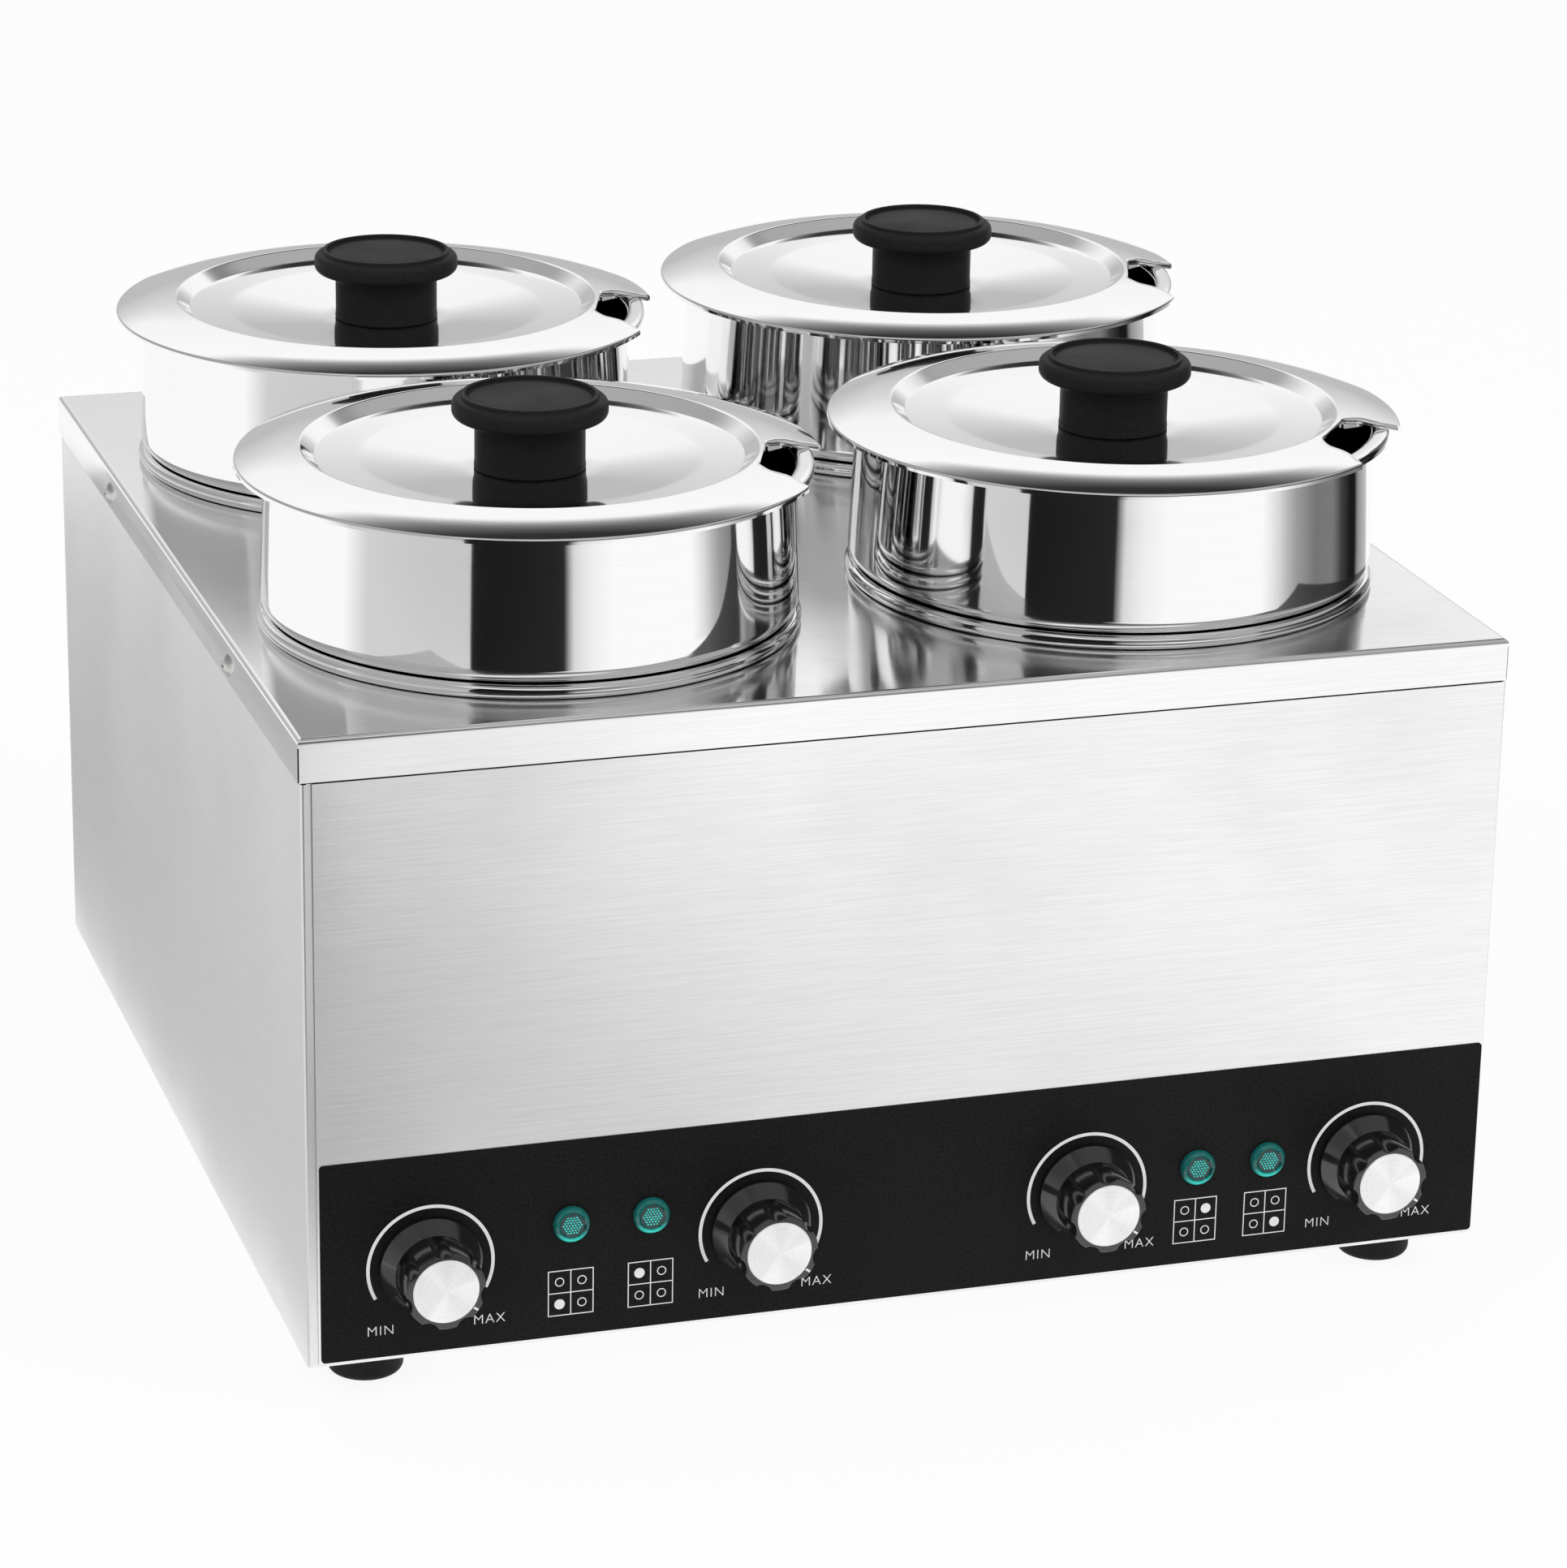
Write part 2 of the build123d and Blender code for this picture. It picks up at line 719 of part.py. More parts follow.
# Lid handles: moulded mushroom knobs with a raised ring round a shallow disc
handle_top = lid_seat_top + handle_height
cap_bottom = handle_top - handle_lip_height - handle_cap_thickness
handle_bore = handle_screw_radius + handle_screw_gap
handle_bore_end = lid_seat_top + handle_screw_grip + run_gap
disc_top = handle_top - handle_groove_depth + handle_disc_rise
for name, (x, y) in zip(corner_names, pot_places):
    with BuildPart() as lid_handle:
        with BuildSketch(turning_plane(x, y)):
            with BuildLine():
                FilletPolyline(
                    (handle_bore, lid_seat_top),
                    (handle_foot_radius, lid_seat_top),
                    (handle_neck_radius, lid_seat_top + handle_foot_height),
                    (handle_neck_radius, cap_bottom),
                    (handle_cap_radius, cap_bottom),
                    (handle_cap_radius, handle_top - handle_lip_height),
                    (handle_lip_radius, handle_top - handle_lip_height),
                    (handle_lip_radius, handle_top),
                    (handle_groove_radius, handle_top),
                    (handle_groove_radius, handle_top - handle_groove_depth),
                    (handle_disc_radius, handle_top - handle_groove_depth),
                    radius=[
                        handle_foot_fillet,
                        handle_foot_fillet,
                        handle_neck_fillet,
                        handle_cap_fillet,
                        handle_cap_fillet,
                        handle_lip_root,
                        handle_lip_fillet,
                        handle_lip_fillet,
                        handle_lip_root,
                    ],
                )
                TangentArc((0, disc_top), (handle_disc_radius, handle_top - handle_groove_depth), tangent=(1, 0))
                Polyline(
                    (0, disc_top),
                    (0, handle_bore_end),
                    (handle_bore, handle_bore_end),
                    (handle_bore, lid_seat_top),
                )
            make_face()
        revolve(axis=upright_axis(x, y))
    save(lid_handle.part, f"lid_handle_{name}")

# Lid screws: up through the plate into the handle
plate_underside = lid_seat_top - lid_sheet
for name, (x, y) in zip(corner_names, pot_places):
    with BuildPart() as lid_screw:
        with BuildSketch(Plane.XY.offset(plate_underside)):
            with Locations((x, y)):
                Circle(handle_screw_head_radius)
        extrude(amount=-handle_screw_head_height)
        fillet(lid_screw.edges().group_by(Axis.Z)[0], handle_screw_head_height / 2)
        with BuildSketch(Plane.XY.offset(plate_underside)):
            with Locations((x, y)):
                Circle(handle_screw_radius)
        extrude(amount=lid_sheet + handle_screw_grip)
    save(lid_screw.part, f"lid_screw_{name}")

# Control strip: printed film on the lower front
strip_left = front_panel_left + strip_side_margin
strip_right = right_face - strip_side_margin
with BuildPart() as control_overlay:
    with BuildSketch(front_plane((strip_left + strip_right) / 2, strip_bottom + strip_height / 2)):
        RectangleRounded(strip_right - strip_left, strip_height, strip_corner_radius)
    extrude(amount=strip_thickness)
    with BuildSketch(front_plane(0, knob_level)):
        with Locations(*[(x, 0) for x in knob_places]):
            Circle(bush_radius + bush_hole_gap)
    extrude(amount=strip_thickness, mode=Mode.SUBTRACT)
    with BuildSketch(front_plane(0, 0)):
        with Locations(*lamp_centres):
            Circle(lamp_tube_radius + lamp_tube_gap)
    extrude(amount=strip_thickness, mode=Mode.SUBTRACT)
save(control_overlay.part, "control_overlay")

# Knobs: a conical skirt and a fluted grip, hollow behind for the bush, with a flatted bore
knob_base = strip_thickness + knob_stand_off
knob_face = strip_thickness + knob_height
bush_room_end = bush_length + knob_stand_off + run_gap
bore_end = knob_face - knob_bore_end
flute_ring = knob_grip_radius - knob_flute_depth + knob_flute_radius
first_flute = knob_pointer_angle + 180 / knob_lobes
for name, x in zip(corner_names, knob_places):
    with BuildPart() as knob:
        with BuildSketch(front_turning_plane(x, knob_level)):
            Polygon(
                (0, knob_base),
                (knob_skirt_radius, knob_base),
                (knob_skirt_radius, knob_base + knob_skirt_edge),
                (knob_grip_radius + knob_skirt_ledge, knob_base + knob_skirt_rise),
                (0, knob_base + knob_skirt_rise),
                align=None,
            )
        revolve(axis=front_axis(x, knob_level))
        with BuildSketch(front_plane(x, knob_level, knob_base + knob_skirt_edge)):
            Circle(knob_grip_radius)
            with PolarLocations(flute_ring, knob_lobes, start_angle=first_flute):
                Circle(knob_flute_radius, mode=Mode.SUBTRACT)
        extrude(amount=knob_face - knob_base - knob_skirt_edge)
        fillet(knob.edges().group_by(Axis.Y)[0], knob_grip_fillet)
        with BuildSketch(front_plane(x, knob_level, knob_face)):
            Circle(knob_cap_radius + knob_cap_gap)
        extrude(amount=-knob_cap_recess, mode=Mode.SUBTRACT)
        with BuildSketch(front_plane(x, knob_level, knob_base)):
            Circle(knob_bush_room)
        extrude(amount=bush_room_end - knob_base, mode=Mode.SUBTRACT)
        with BuildSketch(front_plane(x, knob_level, bush_room_end)):
            Circle(spindle_radius + spindle_fit)
            with Locations((0, spindle_radius + spindle_fit - spindle_flat)):
                Rectangle(
                    2 * spindle_radius,
                    2 * spindle_flat,
                    align=(Align.CENTER, Align.MIN),
                    mode=Mode.SUBTRACT,
                )
        extrude(amount=bore_end - bush_room_end, mode=Mode.SUBTRACT)
    save(knob.part, f"knob_{name}")

# Knob caps: spun aluminium discs let into the knob faces
for name, x in zip(corner_names, knob_places):
    with BuildPart() as knob_cap:
        with BuildSketch(front_plane(x, knob_level, knob_face - knob_cap_recess)):
            Circle(knob_cap_radius)
        extrude(amount=knob_cap_thickness)
        chamfer(knob_cap.edges().group_by(Axis.Y)[0], knob_cap_thickness - knob_cap_recess)
    save(knob_cap.part, f"knob_cap_{name}")

# Spindles: flatted shafts from the thermostats into the knobs
for name, x in zip(corner_names, knob_places):
    with BuildPart() as spindle:
        with BuildSketch(front_plane(x, knob_level, -sheet - spindle_depth + run_gap)):
            Circle(spindle_radius)
        extrude(amount=bush_room_end + sheet + spindle_depth - run_gap)
        with BuildSketch(front_plane(x, knob_level, bush_room_end)):
            Circle(spindle_radius)
            with Locations((0, spindle_radius - spindle_flat)):
                Rectangle(
                    2 * spindle_radius,
                    2 * spindle_flat,
                    align=(Align.CENTER, Align.MIN),
                    mode=Mode.SUBTRACT,
                )
        extrude(amount=bore_end - bush_room_end - run_gap)
    save(spindle.part, f"spindle_{name}")

# Thermostats: switch bodies behind the front sheet, each with a bush and four blades
for name, x in zip(corner_names, knob_places):
    with BuildPart() as thermostat:
        with BuildSketch(front_plane(x, knob_level, -sheet)):
            Rectangle(thermostat_width, thermostat_height)
        extrude(amount=-thermostat_length)
        with BuildSketch(front_plane(x, knob_level, -sheet)):
            Circle(bush_radius)
        extrude(amount=sheet + bush_length)
        with BuildSketch(front_plane(x, knob_level, bush_length)):
            Circle(spindle_radius + spindle_gap)
        extrude(amount=-(bush_length + sheet + spindle_depth), mode=Mode.SUBTRACT)
        with BuildSketch(front_plane(x, knob_level, -sheet - thermostat_length)):
            with GridLocations(2 * blade_offset, 2 * blade_rise, 2, 2):
                Rectangle(blade_width, blade_thickness)
        extrude(amount=-blade_length)
    save(thermostat.part, f"thermostat_{name}")

# Indicator lamps: a moulded lens on the strip and a holder behind the front sheet
lamp_front = strip_thickness + lamp_height
lamp_holders = []
for name, (x, z) in zip(corner_names, lamp_centres):
    with BuildPart() as lamp_lens:
        with BuildSketch(front_turning_plane(x, z)):
            with BuildLine():
                Polyline(
                    (lamp_ring_radius, lamp_front),
                    (lamp_face_radius, lamp_front - lamp_face_drop),
                    (0, lamp_front - lamp_face_drop),
                    (0, strip_thickness - lamp_stem_length),
                    (lamp_stem_radius, strip_thickness - lamp_stem_length),
                    (lamp_stem_radius, strip_thickness),
                    (lamp_radius, strip_thickness),
                    (lamp_radius, strip_thickness + lamp_edge),
                )
                TangentArc(
                    (lamp_radius, strip_thickness + lamp_edge),
                    (lamp_ring_radius, lamp_front),
                    tangent=(0, 1),
                )
            make_face()
        revolve(axis=front_axis(x, z))
    save(lamp_lens.part, f"lamp_lens_{name}")

    with BuildPart() as lamp_holder:
        with BuildSketch(front_plane(x, z, -sheet)):
            Circle(lamp_body_radius)
        extrude(amount=-lamp_body_length)
        with BuildSketch(front_plane(x, z, -sheet)):
            Circle(lamp_tube_radius)
        extrude(amount=sheet + strip_thickness)
        with BuildSketch(front_plane(x, z, strip_thickness)):
            Circle(lamp_stem_radius + lamp_tube_gap)
        extrude(amount=-lamp_stem_length - run_gap, mode=Mode.SUBTRACT)
        with BuildSketch(front_plane(x, z, -sheet - lamp_body_length)):
            with GridLocations(blade_width, 0, 2, 1):
                Rectangle(blade_thickness, blade_width / 2)
        extrude(amount=-blade_length)
    lamp_holders.append(lamp_holder.part)
group(lamp_holders, "lamp_holders")

# Heaters: a ring element under each well, held up by a bar on the well's stud
elements = []
clamps = []
for x, y in pot_places:
    opening = element_gap_angle / 2
    ring_start = math.radians(-90 + opening)
    ring_end = math.radians(-90 - opening)
    with BuildPart() as element:
        start_plane = Plane(
            origin=(x, y, element_level),
            x_dir=(math.cos(ring_start), math.sin(ring_start), 0),
            z_dir=(math.sin(ring_start), -math.cos(ring_start), 0),
        )
        with BuildSketch(start_plane):
            with Locations((element_ring_radius, 0)):
                Circle(element_tube_radius)
        revolve(axis=upright_axis(x, y), revolution_arc=360 - element_gap_angle)
        with BuildSketch(Plane.XY.offset(element_level)):
            for turn in (ring_start, ring_end):
                with Locations(
                    (x + element_ring_radius * math.cos(turn), y + element_ring_radius * math.sin(turn))
                ):
                    Circle(element_tube_radius)
        extrude(amount=-element_leg)
    elements.append(element.part)

    with BuildPart() as clamp:
        with BuildSketch(Plane.XY.offset(clamp_top)):
            with Locations((x, y)):
                Rectangle(clamp_length, clamp_width)
        extrude(amount=-clamp_thickness)
        with BuildSketch(Plane.XY.offset(well_base)):
            with Locations((x, y)):
                Circle(clamp_bolt_radius)
        extrude(amount=-(well_base - clamp_top) - clamp_nut_height)
        with BuildSketch(Plane.XY.offset(clamp_top - clamp_thickness)):
            with Locations((x, y)):
                RegularPolygon(clamp_nut_radius, 6)
        extrude(amount=-clamp_nut_height)
    clamps.append(clamp.part)
group(elements, "heating_elements")
group(clamps, "element_clamps")


def tube(path, radius, bend):
    """Round tube along straight runs joined by tangent arcs."""
    with BuildPart() as run:
        with BuildLine():
            route = FilletPolyline(*path, radius=bend)
        with BuildSketch(Plane(origin=route @ 0, z_dir=route % 0)):
            Circle(radius)
        sweep()
    return run.part


# Sensors: a bulb under each well with a capillary back to its thermostat
sensors = []
bulb_level = well_base - sheet_gap - bulb_radius
low_level = bulb_level - capillary_level
for (x, y), knob_x in zip(pot_places, knob_places):
    bulb_x = x + bulb_offset
    bulb_front = y - bulb_length / 2
    drop_y = y - (capillary_drop_back if y < 0 else rear_capillary_back)
    thermostat_y = front_inner + thermostat_length / 2
    capillary = tube(
        [
            (bulb_x, bulb_front, bulb_level),
            (bulb_x, drop_y, bulb_level),
            (bulb_x, drop_y, low_level),
            (knob_x, drop_y, low_level),
            (knob_x, thermostat_y, low_level),
            (knob_x, thermostat_y, thermostat_top),
        ],
        capillary_radius,
        capillary_bend,
    )
    with BuildPart() as sensor:
        with BuildSketch(Plane.XZ.offset(-bulb_front)):
            with Locations((bulb_x, bulb_level)):
                Circle(bulb_radius)
        extrude(amount=-bulb_length)
        add(capillary)
    sensors.append(sensor.part)
group(sensors, "thermostat_sensors")

# Supply terminal: a screw block on the base plate
terminal_top = base_top + terminal_height
way_places = [
    terminal_place_x + (way - (terminal_ways - 1) / 2) * terminal_pitch for way in range(terminal_ways)
]
with BuildPart() as terminal_block:
    with BuildSketch(Plane.XY.offset(base_top)):
        with Locations((terminal_place_x, terminal_place_y)):
            Rectangle(terminal_width, terminal_depth)
    extrude(amount=terminal_height)
    with BuildSketch(Plane.XY.offset(terminal_top)):
        for place in way_places:
            with Locations((place, terminal_place_y)):
                Circle(terminal_screw_radius)
    extrude(amount=-terminal_screw_depth, mode=Mode.SUBTRACT)
save(terminal_block.part, "terminal_block")

# Cable gland: body through the rear sheet and its nut inside
gland_out = Plane(origin=(gland_place_x, rear_outer, gland_axis_level), x_dir=(1, 0, 0), z_dir=(0, 1, 0))
with BuildPart() as gland_body:
    with BuildSketch(gland_out):
        RegularPolygon(gland_hex_radius, 6)
    extrude(amount=gland_hex_length)
    with BuildSketch(gland_out.offset(gland_hex_length)):
        Circle(gland_dome_radius)
    extrude(amount=gland_dome_length)
    fillet(gland_body.edges().group_by(Axis.Y)[-1], gland_dome_fillet)
    with BuildSketch(gland_out):
        Circle(gland_thread_radius)
    extrude(amount=-gland_inside)
    with BuildSketch(gland_out.offset(-gland_inside)):
        Circle(gland_bore_radius)
    extrude(amount=gland_inside + gland_hex_length + gland_dome_length, mode=Mode.SUBTRACT)
with BuildPart() as gland_nut:
    with BuildSketch(gland_out.offset(-sheet)):
        RegularPolygon(gland_nut_radius, 6)
        Circle(gland_thread_radius + screw_hole_gap, mode=Mode.SUBTRACT)
    extrude(amount=-gland_nut_length)
group([gland_body.part, gland_nut.part], "cable_gland")

# Wiring: thermostat to heater, thermostat to supply terminal, and the returns that link the heaters
wires = []
floor_level = base_top + wire_floor_gap
leg_end = element_level - element_leg
heater_level = leg_end - wire_level_drop
return_level = leg_end - return_drop
tail_y = blade_end + wire_tail
block_front = terminal_place_y - terminal_depth / 2
leg_turn = math.radians(element_gap_angle / 2)
leg_side = element_ring_radius * math.sin(leg_turn)
leg_back = element_ring_radius * math.cos(leg_turn)
supply_ways = way_places[1:]
turn_places = [wire_turn_first + wire_turn_step * step for step in (2, 1, 0, 2)]
for (x, y), knob_x, way_x, turn_y in zip(pot_places, knob_places, supply_ways, turn_places):
    outward = math.copysign(1, x)
    leg_x = x + outward * leg_side
    heater_x = knob_x - outward * blade_offset
    supply_x = knob_x + outward * blade_offset
    to_heater = [
        (heater_x, blade_end, knob_level + blade_rise),
        (heater_x, tail_y, knob_level + blade_rise),
        (heater_x, tail_y, heater_level),
        (heater_x, y - leg_back, heater_level),
        (leg_x, y - leg_back, heater_level),
        (leg_x, y - leg_back, leg_end),
    ]
    to_supply = [
        (supply_x, blade_end, knob_level - blade_rise),
        (supply_x, tail_y, knob_level - blade_rise),
        (supply_x, tail_y, floor_level),
        (supply_x, turn_y, floor_level),
        (way_x, turn_y, floor_level),
        (way_x, block_front, floor_level),
    ]
    wires += [tube(to_heater, wire_radius, wire_bend), tube(to_supply, wire_radius, wire_bend)]

inner_leg = pot_spacing_x / 2 - leg_side
front_leg_y = -pot_spacing_y / 2 - leg_back
rear_leg_y = pot_spacing_y / 2 - leg_back
near_side = inner_leg - return_side
far_side = inner_leg + return_side
block_return = way_places[0]
return_end = floor_level + return_rise
returns = [
    [
        (-near_side, front_leg_y, leg_end),
        (-near_side, front_leg_y, return_level),
        (near_side, front_leg_y, return_level),
        (near_side, front_leg_y, leg_end),
    ],
    [
        (near_side, rear_leg_y, leg_end),
        (near_side, rear_leg_y, return_level),
        (near_side, return_turn, return_level),
        (near_side, return_turn, return_end),
        (block_return, return_turn, return_end),
        (block_return, block_front, return_end),
    ],
] + [
    [
        (side, front_leg_y, leg_end),
        (side, front_leg_y, return_level),
        (side, rear_leg_y, return_level),
        (side, rear_leg_y, leg_end),
    ]
    for side in (-far_side, far_side)
]
wires += [tube(path, wire_radius, wire_bend) for path in returns]
group(wires, "wiring_harness")
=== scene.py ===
"""Looks of a table bain marie: brushed housing, polished pots under notched lids, black control strip."""

import logging
import math
from dataclasses import dataclass, field
from enum import Enum

import bmesh
import bpy
from mathutils import Matrix, Vector


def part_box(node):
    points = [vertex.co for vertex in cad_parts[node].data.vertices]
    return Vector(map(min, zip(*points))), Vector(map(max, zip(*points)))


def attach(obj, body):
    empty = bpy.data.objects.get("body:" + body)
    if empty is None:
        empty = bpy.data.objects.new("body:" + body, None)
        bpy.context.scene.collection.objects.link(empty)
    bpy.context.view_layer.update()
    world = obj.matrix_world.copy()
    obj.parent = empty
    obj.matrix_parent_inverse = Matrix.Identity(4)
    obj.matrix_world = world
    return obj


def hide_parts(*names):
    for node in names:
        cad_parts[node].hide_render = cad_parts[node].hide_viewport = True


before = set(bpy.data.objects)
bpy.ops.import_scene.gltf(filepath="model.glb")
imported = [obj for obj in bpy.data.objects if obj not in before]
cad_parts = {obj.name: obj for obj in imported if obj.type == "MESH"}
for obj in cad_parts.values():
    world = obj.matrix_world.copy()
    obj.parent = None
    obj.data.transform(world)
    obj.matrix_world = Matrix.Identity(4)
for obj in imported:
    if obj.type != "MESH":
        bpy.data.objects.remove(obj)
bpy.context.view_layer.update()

LOG = logging.getLogger("bain_marie")
HOUSING = "housing"
MM = 0.001
WHITE = (1, 1, 1, 1)

# Turn that stands a mark drawn from above up on the front
UPRIGHT = Matrix.Rotation(math.radians(90), 4, "X")

# Part of a noise pattern's range that holds nearly all of it
PATTERN_MIDDLE = (0.3, 0.7)

# Turns past which an edge is sharp, on sheets and on print, in degrees
SHEET_EDGE, PRINT_EDGE = 38.0, 30.0

# Turn below which an outline is straight, in radians, and the least width that a height is divided by, in mm
STRAIGHT, HAIR = 1e-4, 1e-9

# Distances under which points are one, in any mesh and along a shell's seam, in metres
DOUBLE, SEAM = 1e-7, 1e-6

Point = tuple[float, float]
Triple = tuple[float, float, float]
Quad = tuple[float, float, float, float]
Material, Mesh, Piece = bpy.types.Material, bpy.types.Mesh, bpy.types.Object
Socket, Tree = bpy.types.NodeSocket, bpy.types.NodeTree


class Corner(Enum):
    """Where a pot stands, seen from above with the control strip at the front."""

    FRONT_LEFT = "front_left"
    REAR_LEFT = "rear_left"
    REAR_RIGHT = "rear_right"
    FRONT_RIGHT = "front_right"

    def node(self, kind: str) -> str:
        """Name of this corner's CAD node or body of that kind."""
        return f"{kind}_{self.value}"

    def middle(self, kind: str) -> Vector:
        """Middle of this corner's CAD node of that kind, in metres."""
        low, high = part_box(self.node(kind))
        return (Vector(low) + Vector(high)) / 2


class Grain(Enum):
    """Direction of a sheet's brushing, as the stretch of its streak pattern."""

    ALONG_X = (42.0, 2600.0, 2600.0)
    ALONG_Y = (2600.0, 42.0, 2600.0)


def deck_level() -> float:
    """Height of the deck's top face, in metres."""
    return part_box("top_deck")[1][2]


# Node trees


class Drawing:
    """A node tree while it is drawn."""

    def __init__(self, tree: Tree) -> None:
        """Draw in that tree."""
        self.tree = tree

    def feed(self, target: Socket, value: object) -> None:
        """Give an input its value.

        Args:
            target: The input.
            value: The socket to link to it, or a plain value.
        """
        if isinstance(value, Socket):
            self.tree.links.new(value, target)
        else:
            target.default_value = value

    def node(self, kind: str, given: dict[str | int, object] | None = None,
             **settings: object) -> bpy.types.Node:
        """Add a node.

        Args:
            kind: The node's type.
            given: What each input gets, by its name or number: another socket or a plain value.
            settings: The node's own properties.

        Returns:
            The new node.
        """
        made = self.tree.nodes.new(kind)
        for key, value in settings.items():
            setattr(made, key, value)
        for key, value in (given or {}).items():
            self.feed(made.inputs[key], value)
        return made

    def number(self, operation: str, first: object, second: object) -> Socket:
        """Result of an operation on two numbers."""
        return self.node("ShaderNodeMath", {0: first, 1: second}, operation=operation).outputs[0]

    def vector(self, operation: str, first: object, second: object = (0, 0, 0)) -> Socket:
        """Result of an operation on one or two vectors."""
        made = self.node("ShaderNodeVectorMath", {0: first, 1: second}, operation=operation)
        return made.outputs["Value" if operation in ("LENGTH", "DOT_PRODUCT") else "Vector"]

    def ranged(self, value: Socket, start: float, end: float, low: float = 0.0, high: float = 1.0,
               **settings: object) -> Socket:
        """Value mapped so that start becomes low and end becomes high, with settings for the node."""
        given = {"Value": value, "From Min": start, "From Max": end, "To Min": low, "To Max": high}
        return self.node("ShaderNodeMapRange", given, **settings).outputs["Result"]

    def ramp(self, value: Socket, stops: list[tuple[float, Triple]]) -> Socket:
        """Colour that follows a value from 0 to 1.

        Args:
            value: What it follows.
            stops: Value and colour of each stop, in order.

        Returns:
            The colour.
        """
        made = self.node("ShaderNodeValToRGB", {"Fac": value})
        marks = made.color_ramp.elements
        while len(marks) < len(stops):
            marks.new(0.5)
        for mark, (spot, colour) in zip(marks, stops):
            mark.position, mark.color = spot, (*colour, 1)
        return made.outputs["Color"]

    def blend(self, share: Socket, first: object, second: object) -> Socket:
        """Mix of two colours.

        Args:
            share: How much of the second, 0 to 1.
            first: A colour with alpha, or a socket that gives one.
            second: The other colour or socket.

        Returns:
            The mixed colour.
        """
        made = self.node("ShaderNodeMix", {"Factor": share}, data_type="RGBA")
        for target, colour in zip((i for i in made.inputs if i.type == "RGBA"), (first, second)):
            self.feed(target, colour)
        return next(o for o in made.outputs if o.type == "RGBA")

    def rays(self, *kinds: str) -> Socket:
        """Socket that is 1 for rays of those kinds.

        Args:
            kinds: Outputs of the Light Path node.

        Returns:
            The socket.
        """
        path = self.node("ShaderNodeLightPath").outputs
        total = path[kinds[0]]
        for kind in kinds[1:]:
            total = self.number("MAXIMUM", total, path[kind])
        return total


class Recipe(Drawing):
    """A material while a finish is mixed into its nodes."""

    def __init__(self, name: str) -> None:
        """Start a material with a plain shader.

        Args:
            name: The material's name.
        """
        self.material = bpy.data.materials.new(name)
        self.material.use_nodes = True
        super().__init__(self.material.node_tree)
        self.shader = self.tree.nodes["Principled BSDF"]
        coords = self.node("ShaderNodeTexCoord").outputs
        self.place, self.wrap = coords["Object"], coords["UV"]

    def set(self, **inputs: object) -> None:
        """Set or feed sockets of the shader, by name with spaces as underscores."""
        for key, value in inputs.items():
            self.feed(self.shader.inputs[key.replace("_", " ")], value)

    def show(self, shader: bpy.types.Node) -> None:
        """Make a shader node the material's surface."""
        self.feed(self.tree.nodes["Material Output"].inputs["Surface"], shader.outputs[0])

    def stretched(self, where: Socket, scale: Triple, shift: Triple = (0, 0, 0)) -> Socket:
        """Coordinates moved by a shift in metres and then scaled."""
        return self.vector("MULTIPLY", self.vector("ADD", where, shift), scale)

    def facing(self, middle: Vector) -> Socket:
        """Coordinates about a middle on the front, with no depth."""
        return self.stretched(self.place, (1, 0, 1), tuple(-middle))

    def noise(self, where: Socket, scale: float, detail: float) -> Socket:
        """Cloudy pattern from 0 to 1 at those coordinates."""
        given = {"Vector": where, "Scale": scale, "Detail": detail}
        return self.node("ShaderNodeTexNoise", given).outputs["Fac"]

    def spread(self, pattern: Socket, low: float, high: float) -> Socket:
        """Pattern's middle part stretched to run from low to high."""
        return self.ranged(pattern, *PATTERN_MIDDLE, low, high)

    def tint(self, pattern: Socket, colour: Triple, dark: float, light: float) -> None:
        """Colour the shader by a pattern.

        Args:
            pattern: What chooses the tone.
            colour: The finish's colour.
            dark: Factor on the colour at the pattern's low end.
            light: Factor at its high end.
        """
        tones = [tuple(min(1.0, part * factor) for part in colour) for factor in (dark, light)]
        self.set(Base_Color=self.ramp(pattern, list(zip(PATTERN_MIDDLE, tones))))

    def bump(self, height: Socket, strength: float, distance: float) -> Socket:
        """Normal of a surface roughened by a pattern, distance in metres."""
        given = {"Height": height, "Strength": strength, "Distance": distance}
        return self.node("ShaderNodeBump", given).outputs["Normal"]


# Finishes


@dataclass(frozen=True)
class BrushedSteel:
    """Stainless sheet with a straight brushed grain."""

    name: str
    grain: Grain
    colour: Triple
    roughness: float
    contrast: float = 0.05
    smear: float = 0.8
    smoothest: float = -0.05
    dullest: float = 0.06

    def mix(self) -> Material:
        """Make the material.

        Returns:
            The material.
        """
        made = Recipe(self.name)
        across = made.node("ShaderNodeTangent", direction_type="RADIAL", axis=self.grain.name[-1])
        streaks = made.noise(made.stretched(made.place, self.grain.value), scale=1.0, detail=5.0)
        clouds = made.noise(made.place, scale=9.0, detail=3.0)
        made.tint(streaks, self.colour, dark=1 - self.contrast, light=1 + self.contrast)
        rough = made.spread(clouds, self.roughness + self.smoothest, self.roughness + self.dullest)
        made.set(Roughness=rough, Normal=made.bump(streaks, strength=0.2, distance=0.000012),
                 Tangent=across.outputs["Tangent"], Metallic=1.0, Anisotropic=self.smear)
        return made.material


